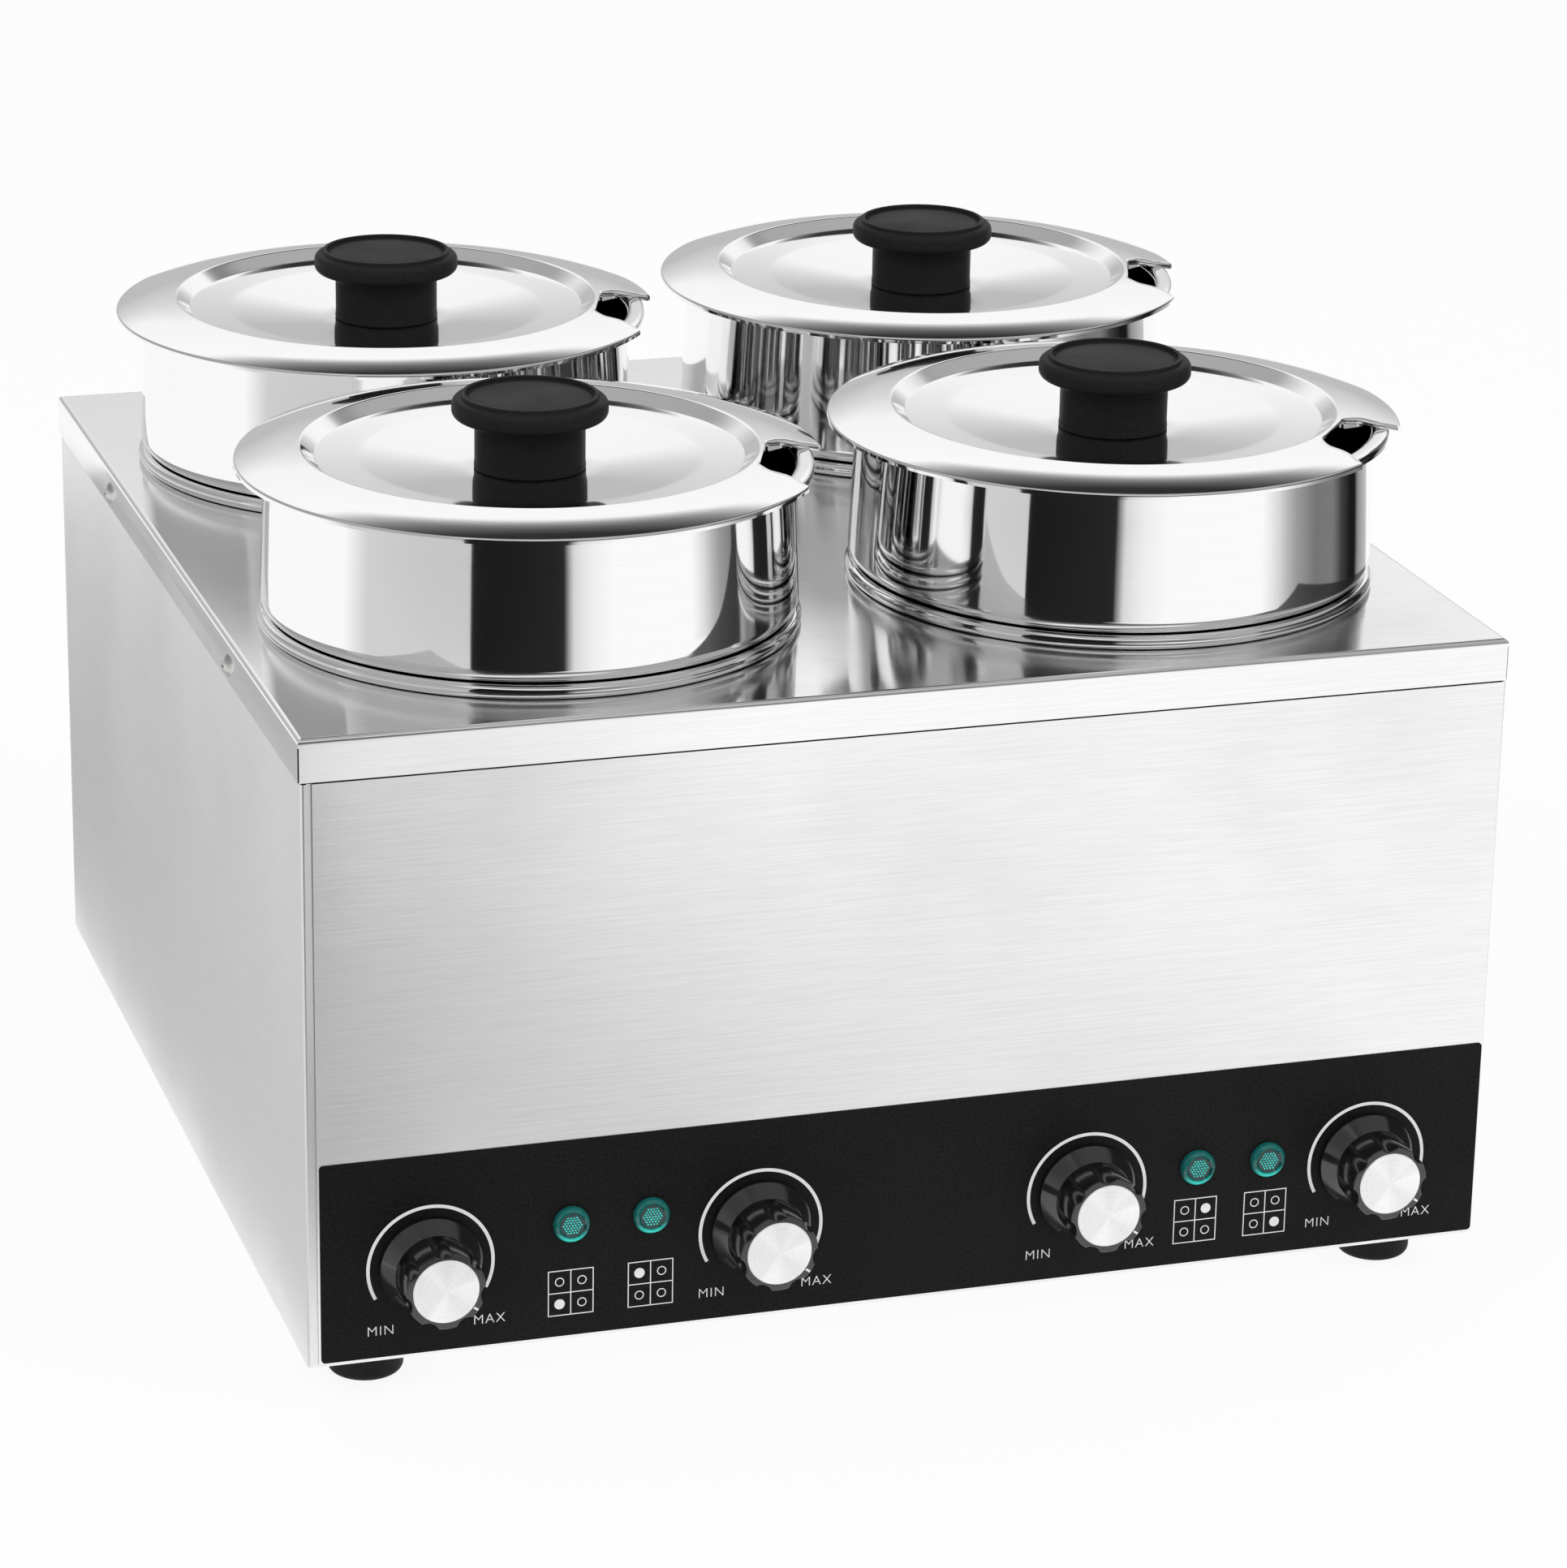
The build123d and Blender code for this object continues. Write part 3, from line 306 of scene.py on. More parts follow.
@dataclass(frozen=True)
class TurnedSteel:
    """Polished stainless with faint polishing lines that run round the piece."""

    name: str
    roughness: float = 0.05
    colour: Triple = (0.95, 0.95, 0.95)
    stretch: Triple = (2.0, 2600.0, 1.0)
    smoothest: float = 0.75
    dullest: float = 1.35

    def mix(self) -> Material:
        """Make the material.

        Returns:
            The material.
        """
        made = Recipe(self.name)
        rings = made.noise(made.stretched(made.wrap, self.stretch), scale=1.0, detail=4.0)
        smears = made.noise(made.place, scale=16.0, detail=4.0)
        made.tint(rings, self.colour, dark=0.985, light=1.015)
        rough = made.spread(smears, self.roughness * self.smoothest, self.roughness * self.dullest)
        made.set(Roughness=rough, Normal=made.bump(rings, strength=0.1, distance=0.000002), Metallic=1.0)
        return made.material


@dataclass(frozen=True)
class PlainMetal:
    """Bare drawn or turned metal with a fine mottled surface."""

    name: str
    colour: Triple
    roughness: float = 0.35
    mottle: float = 420.0
    smoothest: float = 0.8
    dullest: float = 1.25

    def mix(self) -> Material:
        """Make the material.

        Returns:
            The material.
        """
        made = Recipe(self.name)
        grain = made.noise(made.place, self.mottle, detail=4.0)
        made.tint(grain, self.colour, dark=0.88, light=1.08)
        rough = made.spread(grain, self.roughness * self.smoothest, self.roughness * self.dullest)
        made.set(Roughness=rough, Normal=made.bump(grain, strength=0.15, distance=0.00003), Metallic=1.0)
        return made.material


@dataclass(frozen=True)
class Moulded:
    """Moulded plastic, rubber or film with a fine surface grain."""

    name: str
    colour: Triple
    roughness: float
    grain: float = 1400.0
    depth: float = 0.00003
    variation: float = 0.18
    specular: float = 0.5
    smoothest: float = 0.88
    dullest: float = 1.14

    def mix(self) -> Material:
        """Make the material.

        Returns:
            The material.
        """
        made = Recipe(self.name)
        grain = made.noise(made.place, self.grain, detail=3.0)
        handling = made.noise(made.place, scale=38.0, detail=4.0)
        made.tint(grain, self.colour, dark=1 - self.variation, light=1 + self.variation)
        rough = made.spread(handling, self.roughness * self.smoothest, self.roughness * self.dullest)
        made.set(Roughness=rough, Normal=made.bump(grain, strength=0.25, distance=self.depth),
                 Specular_IOR_Level=self.specular)
        return made.material


@dataclass(frozen=True)
class SpunDisc:
    """Spun aluminium with fine rings about a middle on the front and a faint painted sheen in spokes."""

    name: str
    middle: Vector
    colour: Triple = (0.95, 0.95, 0.95)
    rings: float = 5200.0

    def mix(self) -> Material:
        """Make the material.

        Returns:
            The material.
        """
        made = Recipe(self.name)
        local = made.facing(self.middle)
        radius = made.node("ShaderNodeCombineXYZ", {"X": made.vector("LENGTH", local)})
        rings = made.noise(radius.outputs["Vector"], self.rings, detail=3.0)
        # Painted sheen: the tone goes lighter and darker in spokes round the middle, in place of the spun
        # face's reflection.
        sheen = made.noise(made.vector("NORMALIZE", local), scale=1.6, detail=2.0)
        made.tint(sheen, self.colour, dark=0.86, light=1.05)
        made.set(Roughness=made.spread(rings, low=0.2, high=0.32),
                 Normal=made.bump(rings, strength=0.12, distance=0.00001), Metallic=0.35)
        return made.material


@dataclass(frozen=True)
class TintedLens:
    """Clear tinted moulding of an indicator lamp, its middle a deep tint darkened by painted recess shade and
    its lower edge bright with a painted glow.

    Sizes are in mm.
    """

    name: str
    middle: Vector
    # The middle's colour is the lens's deep tint darkened by painted shade of the recess; the lower edge's
    # colour is a painted glow.
    core_tint_and_shade: Quad = (0.002, 0.035, 0.034, 1)
    wall: Quad = (0.008, 0.13, 0.12, 1)
    edge: Quad = (0.02, 0.90, 0.76, 1)
    core_radius: float = 4.5
    wall_radius: float = 5.4
    glow_from: float = -2.2
    glow_to: float = -5.8

    def mix(self) -> Material:
        """Make the material.

        Returns:
            The material.
        """
        made = Recipe(self.name)
        local = made.facing(self.middle)
        level = made.node("ShaderNodeSeparateXYZ", {0: local}).outputs["Z"]
        # Painted glow and shade: the colour turns bright cyan towards the lower edge and stays dark in the
        # middle, in place of light through the lens and the recess's shadow.
        low = made.ranged(level, self.glow_from * MM, self.glow_to * MM)
        out = made.ranged(made.vector("LENGTH", local), self.core_radius * MM, self.wall_radius * MM)
        flow = made.noise(made.place, scale=260.0, detail=3.0)
        made.set(Base_Color=made.blend(out, self.core_tint_and_shade, made.blend(low, self.wall, self.edge)),
                 Roughness=made.spread(flow, low=0.05, high=0.1),
                 Normal=made.bump(flow, strength=0.1, distance=0.00005), IOR=1.49, Specular_IOR_Level=0.7)
        return made.material


@dataclass(frozen=True)
class ClearPrism:
    """Tinted prisms behind the middle of an indicator lamp."""

    name: str
    colour: Triple = (0.06, 0.80, 0.72)

    def mix(self) -> Material:
        """Make the material.

        Returns:
            The material.
        """
        made = Recipe(self.name)
        flow = made.noise(made.place, scale=900.0, detail=2.0)
        made.tint(flow, self.colour, dark=0.55, light=1.25)
        made.set(Roughness=made.spread(flow, low=0.08, high=0.16), IOR=1.49, Specular_IOR_Level=0.5)
        return made.material


@dataclass(frozen=True)
class PrintedInk:
    """Opaque screen-printed ink with a slightly uneven tone."""

    name: str
    colour: Triple = (0.86, 0.86, 0.86)

    def mix(self) -> Material:
        """Make the material.

        Returns:
            The material.
        """
        made = Recipe(self.name)
        weave = made.noise(made.place, scale=2300.0, detail=2.0)
        made.tint(weave, self.colour, dark=0.93, light=1.04)
        made.set(Roughness=made.spread(weave, low=0.42, high=0.55))
        return made.material


# Meshes


def rounded(corners: list[Triple], turn: float = 6.0) -> list[Point]:
    """Round the corners of an open outline.

    Args:
        corners: Radius, height and fillet of each corner; the ends have no fillet.
        turn: Largest turn of one step of an arc, in degrees.

    Returns:
        The outline's points.
    """
    points = [Vector(corners[0][:2])]
    for before, here, after in zip(corners, corners[1:], corners[2:]):
        spot, fillet = Vector(here[:2]), here[2]
        back = (Vector(before[:2]) - spot).normalized()
        ahead = (Vector(after[:2]) - spot).normalized()
        bend = math.pi - back.angle(ahead)
        if fillet <= 0 or bend < STRAIGHT:
            points.append(spot)
            continue
        heart = spot + (back + ahead).normalized() * (fillet / math.cos(bend / 2))
        start = spot + back * (fillet * math.tan(bend / 2)) - heart
        side = 1 if back.x * ahead.y - back.y * ahead.x < 0 else -1
        count = max(3, math.ceil(math.degrees(bend) / turn))
        points += [heart + Matrix.Rotation(side * bend * k / count, 2) @ start for k in range(count + 1)]
    points.append(Vector(corners[-1][:2]))
    return [tuple(p) for p in points]


def divided(path: list[Point], longest: float) -> list[Point]:
    """Add points to a path.

    Args:
        path: Its points.
        longest: Longest step that stays whole.

    Returns:
        The path with its longer steps divided.
    """
    made = [path[0]]
    for a, b in zip(path, path[1:]):
        count = max(1, math.ceil(math.dist(a, b) / longest))
        for k in range(1, count + 1):
            made.append(tuple(p + (q - p) * k / count for p, q in zip(a, b)))
    return made


def doubled(path: list[Point], thickness: float) -> list[Point]:
    """Outline of a sheet that follows a path.

    Args:
        path: Points of one face of the sheet.
        thickness: Sheet thickness; it lies on the left of the path, or on the right if negative.

    Returns:
        The path out along that face and back along the other.
    """
    far = []
    last = len(path) - 1
    for k, spot in enumerate(path):
        along = (Vector(path[min(last, k + 1)]) - Vector(path[max(0, k - 1)])).normalized()
        far.append((spot[0] - along.y * thickness, spot[1] + along.x * thickness))
    return path + far[::-1]


def shown(data: bpy.types.ID, name: str) -> Piece:
    """Put a mesh or other data in the scene as an object at the origin.

    Args:
        data: The data.
        name: The object's name.

    Returns:
        The object.
    """
    made = bpy.data.objects.new(name, data)
    bpy.context.scene.collection.objects.link(made)
    return made


def mesh_of(name: str, points: list[Triple], faces: list[list[int]] | tuple = ()) -> Mesh:
    """Mesh of points, loose or with faces.

    Args:
        name: The mesh's name.
        points: The points, in metres.
        faces: Numbers of the points of each face.

    Returns:
        The mesh.
    """
    mesh = bpy.data.meshes.new(name)
    mesh.from_pydata(points, [], faces)
    mesh.update()
    return mesh


def tidied(mesh: Mesh, sharp: float = SHEET_EDGE) -> Mesh:
    """Merge a mesh's doubles, turn its faces outwards and shade it smooth.

    Args:
        mesh: The mesh.
        sharp: Turn past which an edge stays sharp, in degrees.

    Returns:
        The same mesh.
    """
    work = bmesh.new()
    work.from_mesh(mesh)
    bmesh.ops.remove_doubles(work, verts=work.verts, dist=DOUBLE)
    bmesh.ops.recalc_face_normals(work, faces=work.faces)
    for face in work.faces:
        face.smooth = True
    work.to_mesh(mesh)
    work.free()
    mesh.set_sharp_from_angle(angle=math.radians(sharp))
    return mesh


def lofted(name: str, sections: list[list[Triple]], sharp: float = SHEET_EDGE, capped: bool = True) -> Mesh:
    """Closed mesh through a row of matching loops.

    Args:
        name: The mesh's name.
        sections: The loops' points, in metres.
        sharp: Turn past which an edge stays sharp, in degrees.
        capped: Whether the first and last loop are filled.

    Returns:
        The mesh.
    """
    size = len(sections[0])
    points = [p for section in sections for p in section]
    faces = [[k * size + j, k * size + (j + 1) % size, (k + 1) * size + (j + 1) % size, (k + 1) * size + j]
             for k in range(len(sections) - 1) for j in range(size)]
    if capped:
        faces += [list(range(size))[::-1], list(range(len(points) - size, len(points)))]
    return tidied(mesh_of(name, points, faces), sharp)


def joined(mesh: Mesh, more: Mesh, finish: Material) -> None:
    """Add one mesh to another, all in one finish.

    Args:
        mesh: The mesh that grows.
        more: What it takes up.
        finish: Its material.
    """
    work = bmesh.new()
    for part in (mesh, more):
        work.from_mesh(part)
    for face in work.faces:
        face.material_index = 0
    work.to_mesh(mesh)
    work.free()
    mesh.materials.clear()
    mesh.materials.append(finish)
    mesh.set_sharp_from_angle(angle=math.radians(SHEET_EDGE))


def dropped(helper: Piece) -> None:
    """Remove a helper and its mesh.

    Args:
        helper: The helper object.
    """
    mesh = helper.data
    bpy.data.objects.remove(helper)
    bpy.data.meshes.remove(mesh)


def evaluated(piece: Piece) -> Mesh:
    """New plain mesh of an object as its modifiers leave it."""
    graph = bpy.context.evaluated_depsgraph_get()
    return bpy.data.meshes.new_from_object(piece.evaluated_get(graph), depsgraph=graph)


def settled(piece: Piece) -> None:
    """Turn an object's modifiers into its plain mesh.

    Args:
        piece: The object.
    """
    made, before = evaluated(piece), piece.data
    piece.modifiers.clear()
    piece.data = made
    bpy.data.meshes.remove(before)


class ShapeTree(Drawing):
    """A Geometry Nodes tree while it is drawn."""

    def __init__(self, name: str, inputs: dict[str, str]) -> None:
        """Start a tree with named inputs.

        Args:
            name: The tree's name.
            inputs: Kind of each named input between the mesh that carries it and the finish.
        """
        super().__init__(bpy.data.node_groups.new(name, "GeometryNodeTree"))
        for key, kind in {"Carrier": "Geometry", **inputs, "Finish": "Material"}.items():
            self.tree.interface.new_socket(key, in_out="INPUT", socket_type=f"NodeSocket{kind}")
        self.tree.interface.new_socket("Piece", in_out="OUTPUT", socket_type="NodeSocketGeometry")
        self.given = self.node("NodeGroupInput").outputs

    def close(self, geometry: Socket) -> Tree:
        """End the tree in realised instances that wear its finish.

        Args:
            geometry: What the tree made.

        Returns:
            The tree.
        """
        real = self.node("GeometryNodeRealizeInstances", {"Geometry": geometry}).outputs[0]
        dressed = self.node("GeometryNodeSetMaterial", {"Geometry": real, "Material": self.given["Finish"]})
        self.node("NodeGroupOutput", {"Piece": dressed.outputs[0]})
        return self.tree


def baked(tree: Tree, name: str, carrier: Mesh, **inputs: object) -> Piece:
    """Run a tree and keep its result as a plain mesh.

    Args:
        tree: The node tree.
        name: Name of the new piece.
        carrier: Mesh that the tree starts from.
        inputs: Values of the tree's inputs, by name.

    Returns:
        The piece, without a modifier.
    """
    piece = shown(carrier, name)
    work = piece.modifiers.new("make", "NODES")
    work.node_group = tree
    keys = {item.name: item.identifier for item in tree.interface.items_tree if item.in_out == "INPUT"}
    for key, value in inputs.items():
        work[keys[key]] = value
    settled(piece)
    piece.data.name = name
    return piece


def turning_tree() -> Tree:
    """Tree that turns an outline round an upright axis.

    The outline's points hold radius, length along the outline and height. The result wears a UV map with
    the turn round the axis across and the length along the outline up.

    Returns:
        The tree.
    """
    tree = ShapeTree("turned_shell",
                     {"Outline": "Object", "Rows": "Int", "Segments": "Int", "Middle": "Vector"})
    rows, segments = tree.given["Rows"], tree.given["Segments"]
    grid = tree.node("GeometryNodeMeshGrid", {"Vertices X": rows, "Vertices Y": segments})
    index = tree.node("GeometryNodeInputIndex").outputs[0]
    row, column = (tree.node("FunctionNodeIntegerMath", {0: index, 1: segments}, operation=kind).outputs[0]
                   for kind in ("DIVIDE_FLOOR", "MODULO"))
    share = tree.number("DIVIDE", column, tree.number("SUBTRACT", segments, 1.0))
    angle = tree.number("MULTIPLY", share, math.tau)
    outline = tree.node("GeometryNodeObjectInfo", {"Object": tree.given["Outline"]}).outputs["Geometry"]
    where = tree.node("GeometryNodeInputPosition").outputs[0]
    spot = tree.node("GeometryNodeSampleIndex", {"Geometry": outline, "Value": where, "Index": row},
                     data_type="FLOAT_VECTOR", domain="POINT")
    parts = tree.node("ShaderNodeSeparateXYZ", {0: spot.outputs["Value"]}).outputs
    flat = tree.node("ShaderNodeCombineXYZ", {"X": parts["X"], "Z": parts["Z"]})
    turned = tree.node("ShaderNodeVectorRotate", {"Vector": flat.outputs[0], "Angle": angle},
                       rotation_type="Z_AXIS")
    placed = tree.vector("ADD", turned.outputs[0], tree.given["Middle"])
    wrap = tree.node("ShaderNodeCombineXYZ", {"X": share, "Y": parts["Y"]})
    held = tree.node("GeometryNodeFieldOnDomain", {0: wrap.outputs[0]},
                     data_type="FLOAT_VECTOR", domain="POINT")
    named = tree.node("GeometryNodeStoreNamedAttribute",
                      {"Geometry": grid.outputs["Mesh"], "Name": "UVMap", "Value": held.outputs[0]},
                      data_type="FLOAT2", domain="CORNER")
    shaped = tree.node("GeometryNodeSetPosition", {"Geometry": named.outputs[0], "Position": placed})
    whole = tree.node("GeometryNodeMergeByDistance", {"Geometry": shaped.outputs[0], "Distance": SEAM})
    return tree.close(whole.outputs[0])


def stamping_tree() -> Tree:
    """Tree that repeats a mark at each point of its carrier.

    Returns:
        The tree.
    """
    tree = ShapeTree("stamped_marks", {"Mark": "Object"})
    mark = tree.node("GeometryNodeObjectInfo", {"Object": tree.given["Mark"]}).outputs["Geometry"]
    many = tree.node("GeometryNodeInstanceOnPoints", {"Points": tree.given["Carrier"], "Instance": mark})
    return tree.close(many.outputs[0])


# Sub-assemblies


@dataclass
class Turnery:
    """Turns outlines into shells round the four pot axes."""

    tree: Tree = field(default_factory=turning_tree)
    segments: int = 241

    def turn(self, name: str, outline: list[Point], middle: Vector, finish: Material) -> Piece:
        """Turn one shell.

        Args:
            name: Name of the new piece.
            outline: Radius and height of each point, in mm, height from the deck.
            middle: Where the axis stands; its height isn't used.
            finish: Material of the shell.

        Returns:
            The piece.
        """
        travelled, points, before = 0.0, [], outline[0]
        for spot in outline:
            travelled += math.dist(before, spot)
            points.append((spot[0] * MM, travelled * MM, spot[1] * MM))
            before = spot
        template = shown(mesh_of("outline", points), "outline")
        axis = (middle.x, middle.y, deck_level())
        piece = baked(self.tree, name, mesh_of(name, []), Outline=template, Rows=len(points),
                      Segments=self.segments, Middle=axis, Finish=finish)
        dropped(template)
        tidied(piece.data)
        return piece

    def turn_four(self, kind: str, ending: str, outline: list[Point], carrier: str,
                  finish: Material) -> None:
        """Turn a shell at each corner in place of its CAD node.

        Args:
            kind: Kind of the nodes that the shells replace.
            ending: End of the new pieces' names.
            outline: Radius and height of each point, in mm, height from the deck.
            carrier: The housing, or the kind of the bodies that carry the shells.
            finish: Their material.
        """
        for corner in Corner:
            node = corner.node(kind)
            piece = self.turn(f"{node}_{ending}", outline, corner.middle(kind), finish)
            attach(piece, HOUSING if carrier == HOUSING else corner.node(carrier))
            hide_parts(node)
            LOG.info("%s: %d faces", piece.name, len(piece.data.polygons))


@dataclass
class Wells:
    """Round tanks hung in the deck by a rolled bead. Sizes in mm and degrees, heights from the deck."""

    radius: float = 94.0
    depth: float = 110.0
    sheet: float = 0.7
    floor_corner: float = 14.0
    bead: float = 2.6
    bead_root: float = 0.78
    curl_from: int = -115
    curl_to: int = 180
    curl_step: int = 9
    longest_step: float = 12.0

    def outline(self) -> list[Point]:
        """Closed outline of a well, from the axis under the floor round the bead to the axis above it.

        Returns:
            The outline's points.
        """
        wall, base = self.radius + self.sheet, -self.depth - self.sheet
        outside = rounded([(0, base, 0), (wall, base, self.floor_corner), (wall, self.bead_root, 0)])
        ring = self.radius + self.bead
        turn = [math.radians(a) for a in range(self.curl_from, self.curl_to + 1, self.curl_step)]
        curl = [(ring + self.bead * math.cos(a), self.bead + self.bead * math.sin(a)) for a in turn]
        inside = rounded([
            (self.radius, self.bead, 0), (self.radius, -self.depth, self.floor_corner - self.sheet),
            (0, -self.depth, 0)])
        return divided(outside + curl + inside, self.longest_step)

    def build(self, turnery: Turnery) -> None:
        """Make the four wells."""
        finish = TurnedSteel("well_polish").mix()
        turnery.turn_four("well", "spun", self.outline(), HOUSING, finish)


@dataclass
class Pots:
    """Lift-out pots with a raised collar and a rolled rim. Sizes in mm and degrees, heights from the deck."""

    radius: float = 93.2
    depth: float = 105.0
    sheet: float = 0.8
    floor_corner: float = 14.0
    root_fillet: float = 1.2
    shoulder_angle: float = 42.0
    shoulder_fillet: float = 6.0
    collar_bottom: float = 98.3
    collar_top: float = 95.8
    collar_fillet: float = 2.4
    rim_height: float = 60.9
    rim_radius: float = 103.0
    rim_fillet: float = 1.2
    rim_curl: float = 2.2
    bead: float = 2.6
    bead_ring: float = 96.6
    clearance: float = 0.3
    longest_step: float = 12.0

    def outline(self) -> list[Point]:
        """Closed outline of a pot, outer face first.

        Returns:
            The outline's points.
        """
        rise = math.tan(math.radians(self.shoulder_angle))
        over = (self.bead + self.clearance) / math.cos(math.radians(self.shoulder_angle))
        root = self.bead + over - (self.bead_ring - self.radius) * rise
        shoulder = root + (self.collar_bottom - self.radius) * rise
        under, edge = self.rim_height - self.sheet, self.rim_radius - self.sheet
        outside = rounded([
            (0, -self.depth, 0), (self.radius, -self.depth, self.floor_corner),
            (self.radius, root, self.root_fillet), (self.collar_bottom, shoulder, self.shoulder_fillet),
            (self.collar_top, under, self.collar_fillet), (edge, under, self.rim_fillet),
            (edge, under - self.rim_curl, 0)])
        return doubled(divided(outside, self.longest_step), self.sheet)

    def build(self, turnery: Turnery) -> None:
        """Make the four pots."""
        finish = TurnedSteel("pot_polish").mix()
        turnery.turn_four("pot", "spun", self.outline(), "pot", finish)


@dataclass
class Lids:
    """Pressed lids with a sloping rim, a dished plate and a ladle notch.

    Sizes are in mm and degrees, heights from the deck. The notch's half plan, on a lid whose notch points
    along +X, holds the x, the half width and the fillet of each of its corners.
    """

    sheet: float = 0.8
    radius: float = 107.0
    edge_depth: float = 1.9
    edge_fillet: float = 1.2
    rim_angle: float = 16.5
    break_radius: float = 97.0
    break_fillet: float = 85.0
    crown_radius: float = 83.0
    crown_rise: float = 1.6
    crown_fillet: float = 1.6
    plate_radius: float = 77.8
    plate_drop: float = 4.1
    plate_fillet: float = 0.8
    ring_radius: float = 62.0
    ring_drop: float = 0.65
    ring_fillet: float = 40.0
    seat_radius: float = 24.0
    seat_fillet: float = 60.0
    dish: float = 4.8
    pot_rim: float = 103.0
    pot_top: float = 60.9
    clearance: float = 0.3
    bore: float = 2.6
    arc_turn: float = 2.5
    longest_step: float = 5.0
    notch_half: tuple[Triple, ...] = (
        (84.6, 14.0, 4.0), (89.5, 20.0, 4.0), (97.0, 21.0, 14.0), (113.0, 34.0, 0))
    notch_step: float = 1.2
    cut_share: float = 0.6
    cut_from: float = 40.0
    cut_to: float = 90.0
    fold: float = 2.0
    inner_fold: float = 0.5
    fold_start: float = 9.0
    fold_run: float = 8.0
    lip_inset: float = 0.4
    lip_reach: float = 1.15
    lip_proud: float = 0.05
    lip_skirt: float = 0.5
    lip_steps: int = 6

    def notch_angle(self, corner: Corner) -> float:
        """Bearing of a lid's notch from +X, in degrees, as the lid lies on its pot."""
        return {Corner.FRONT_LEFT: -22.0, Corner.FRONT_RIGHT: -38.0}.get(corner, -20.0)

    def levels(self) -> dict[str, float]:
        """Heights of the lid's upper face.

        Returns:
            The heights at its edge, break, crown, plate and seat, by name.
        """
        slope = math.radians(self.rim_angle)
        edge = (self.pot_top + self.clearance + self.sheet / math.cos(slope)
                - (self.radius - self.pot_rim) * math.tan(slope))
        brim = edge + (self.radius - self.break_radius) * math.tan(slope)
        crown = brim + self.crown_rise
        plate = crown - self.plate_drop
        return {"edge": edge, "break": brim, "crown": crown, "plate": plate, "seat": plate - self.dish}

    def top_path(self) -> list[Point]:
        """Upper face of the lid from the screw hole to the bottom of its edge.

        Returns:
            Radius and height of its points.
        """
        z = self.levels()
        corners = [
            (self.bore, z["seat"], 0), (self.seat_radius, z["seat"], self.seat_fillet),
            (self.ring_radius, z["plate"] - self.ring_drop, self.ring_fillet),
            (self.plate_radius, z["plate"], self.plate_fillet),
            (self.crown_radius, z["crown"], self.crown_fillet),
            (self.break_radius, z["break"], self.break_fillet), (self.radius, z["edge"], self.edge_fillet),
            (self.radius, z["edge"] - self.edge_depth, 0)]
        return divided(rounded(corners, self.arc_turn), self.longest_step)

    def height(self, radius: float) -> float:
        """Height of the upper face.

        Args:
            radius: Distance from the lid's axis.

        Returns:
            The height there, or that of the edge outside the lid.
        """
        path = self.top_path()
        for a, b in zip(path, path[1:]):
            if a[0] <= radius <= b[0]:
                return a[1] + (b[1] - a[1]) * (radius - a[0]) / max(HAIR, b[0] - a[0])
        return path[-3][1]

    def notch(self) -> list[Point]:
        """Plan of the notch, from one side of its mouth to the other."""
        mirrored = [(x, -y, fillet) for x, y, fillet in self.notch_half]
        return divided(rounded([*self.notch_half[::-1], *mirrored]), self.notch_step)

    def fold_at(self, spot: Point) -> float:
        """Radius of the turned-down fold at a place: small across the inner end, full along the sides."""
        share = min(1.0, max(0.0, (abs(spot[1]) - self.fold_start) / self.fold_run))
        return self.inner_fold + (self.fold - self.inner_fold) * share

    def inward(self, plan: list[Point], place: int) -> Vector:
        """Direction into the sheet at the notch's edge.

        Args:
            plan: The notch's plan.
            place: Number of a point on it.

        Returns:
            The direction at that point.
        """
        first, last = max(0, place - 1), min(len(plan) - 1, place + 1)
        along = (Vector(plan[last]) - Vector(plan[first])).normalized()
        return Vector((along.y, -along.x))

    def cutter(self) -> Mesh:
        """Upright prism that cuts the notch, in place on a lid at the origin.

        Returns:
            Its mesh.
        """
        plan, levels = self.notch(), (self.cut_from, self.cut_to)
        cut = [Vector(p) + self.inward(plan, k) * self.fold_at(p) * self.cut_share
               for k, p in enumerate(plan)]
        return lofted("notch", [[(x * MM, y * MM, z * MM) for x, y in cut] for z in levels])

    def lip(self) -> Mesh:
        """Turned-down lip along the notch's edge, in place on a lid at the origin.

        Returns:
            Its mesh.
        """
        plan = [p for p in self.notch() if math.hypot(*p) <= self.radius - self.lip_inset]
        quarter = [math.radians(90 - 90 * step / self.lip_steps) for step in range(self.lip_steps + 1)]
        sections = []
        for k, spot in enumerate(plan):
            into, fold = self.inward(plan, k), self.fold_at(spot)
            back, thick = fold * self.lip_reach, min(self.sheet, fold)
            crest = self.height((Vector(spot) + into * fold * self.lip_reach).length) + self.lip_proud
            foot = min(self.pot_top + self.clearance, crest - fold - self.lip_skirt)
            curve = [(fold * (1 - math.cos(a)), crest - fold * (1 - math.sin(a))) for a in quarter]
            section = [(back, crest), *curve, (0.0, foot), (thick, foot), (thick, crest - fold),
                       (back, crest - thick)]
            places = [(spot[0] + into.x * d, spot[1] + into.y * d, z) for d, z in section]
            sections.append([(x * MM, y * MM, z * MM) for x, y, z in places])
        return lofted("lip", sections)

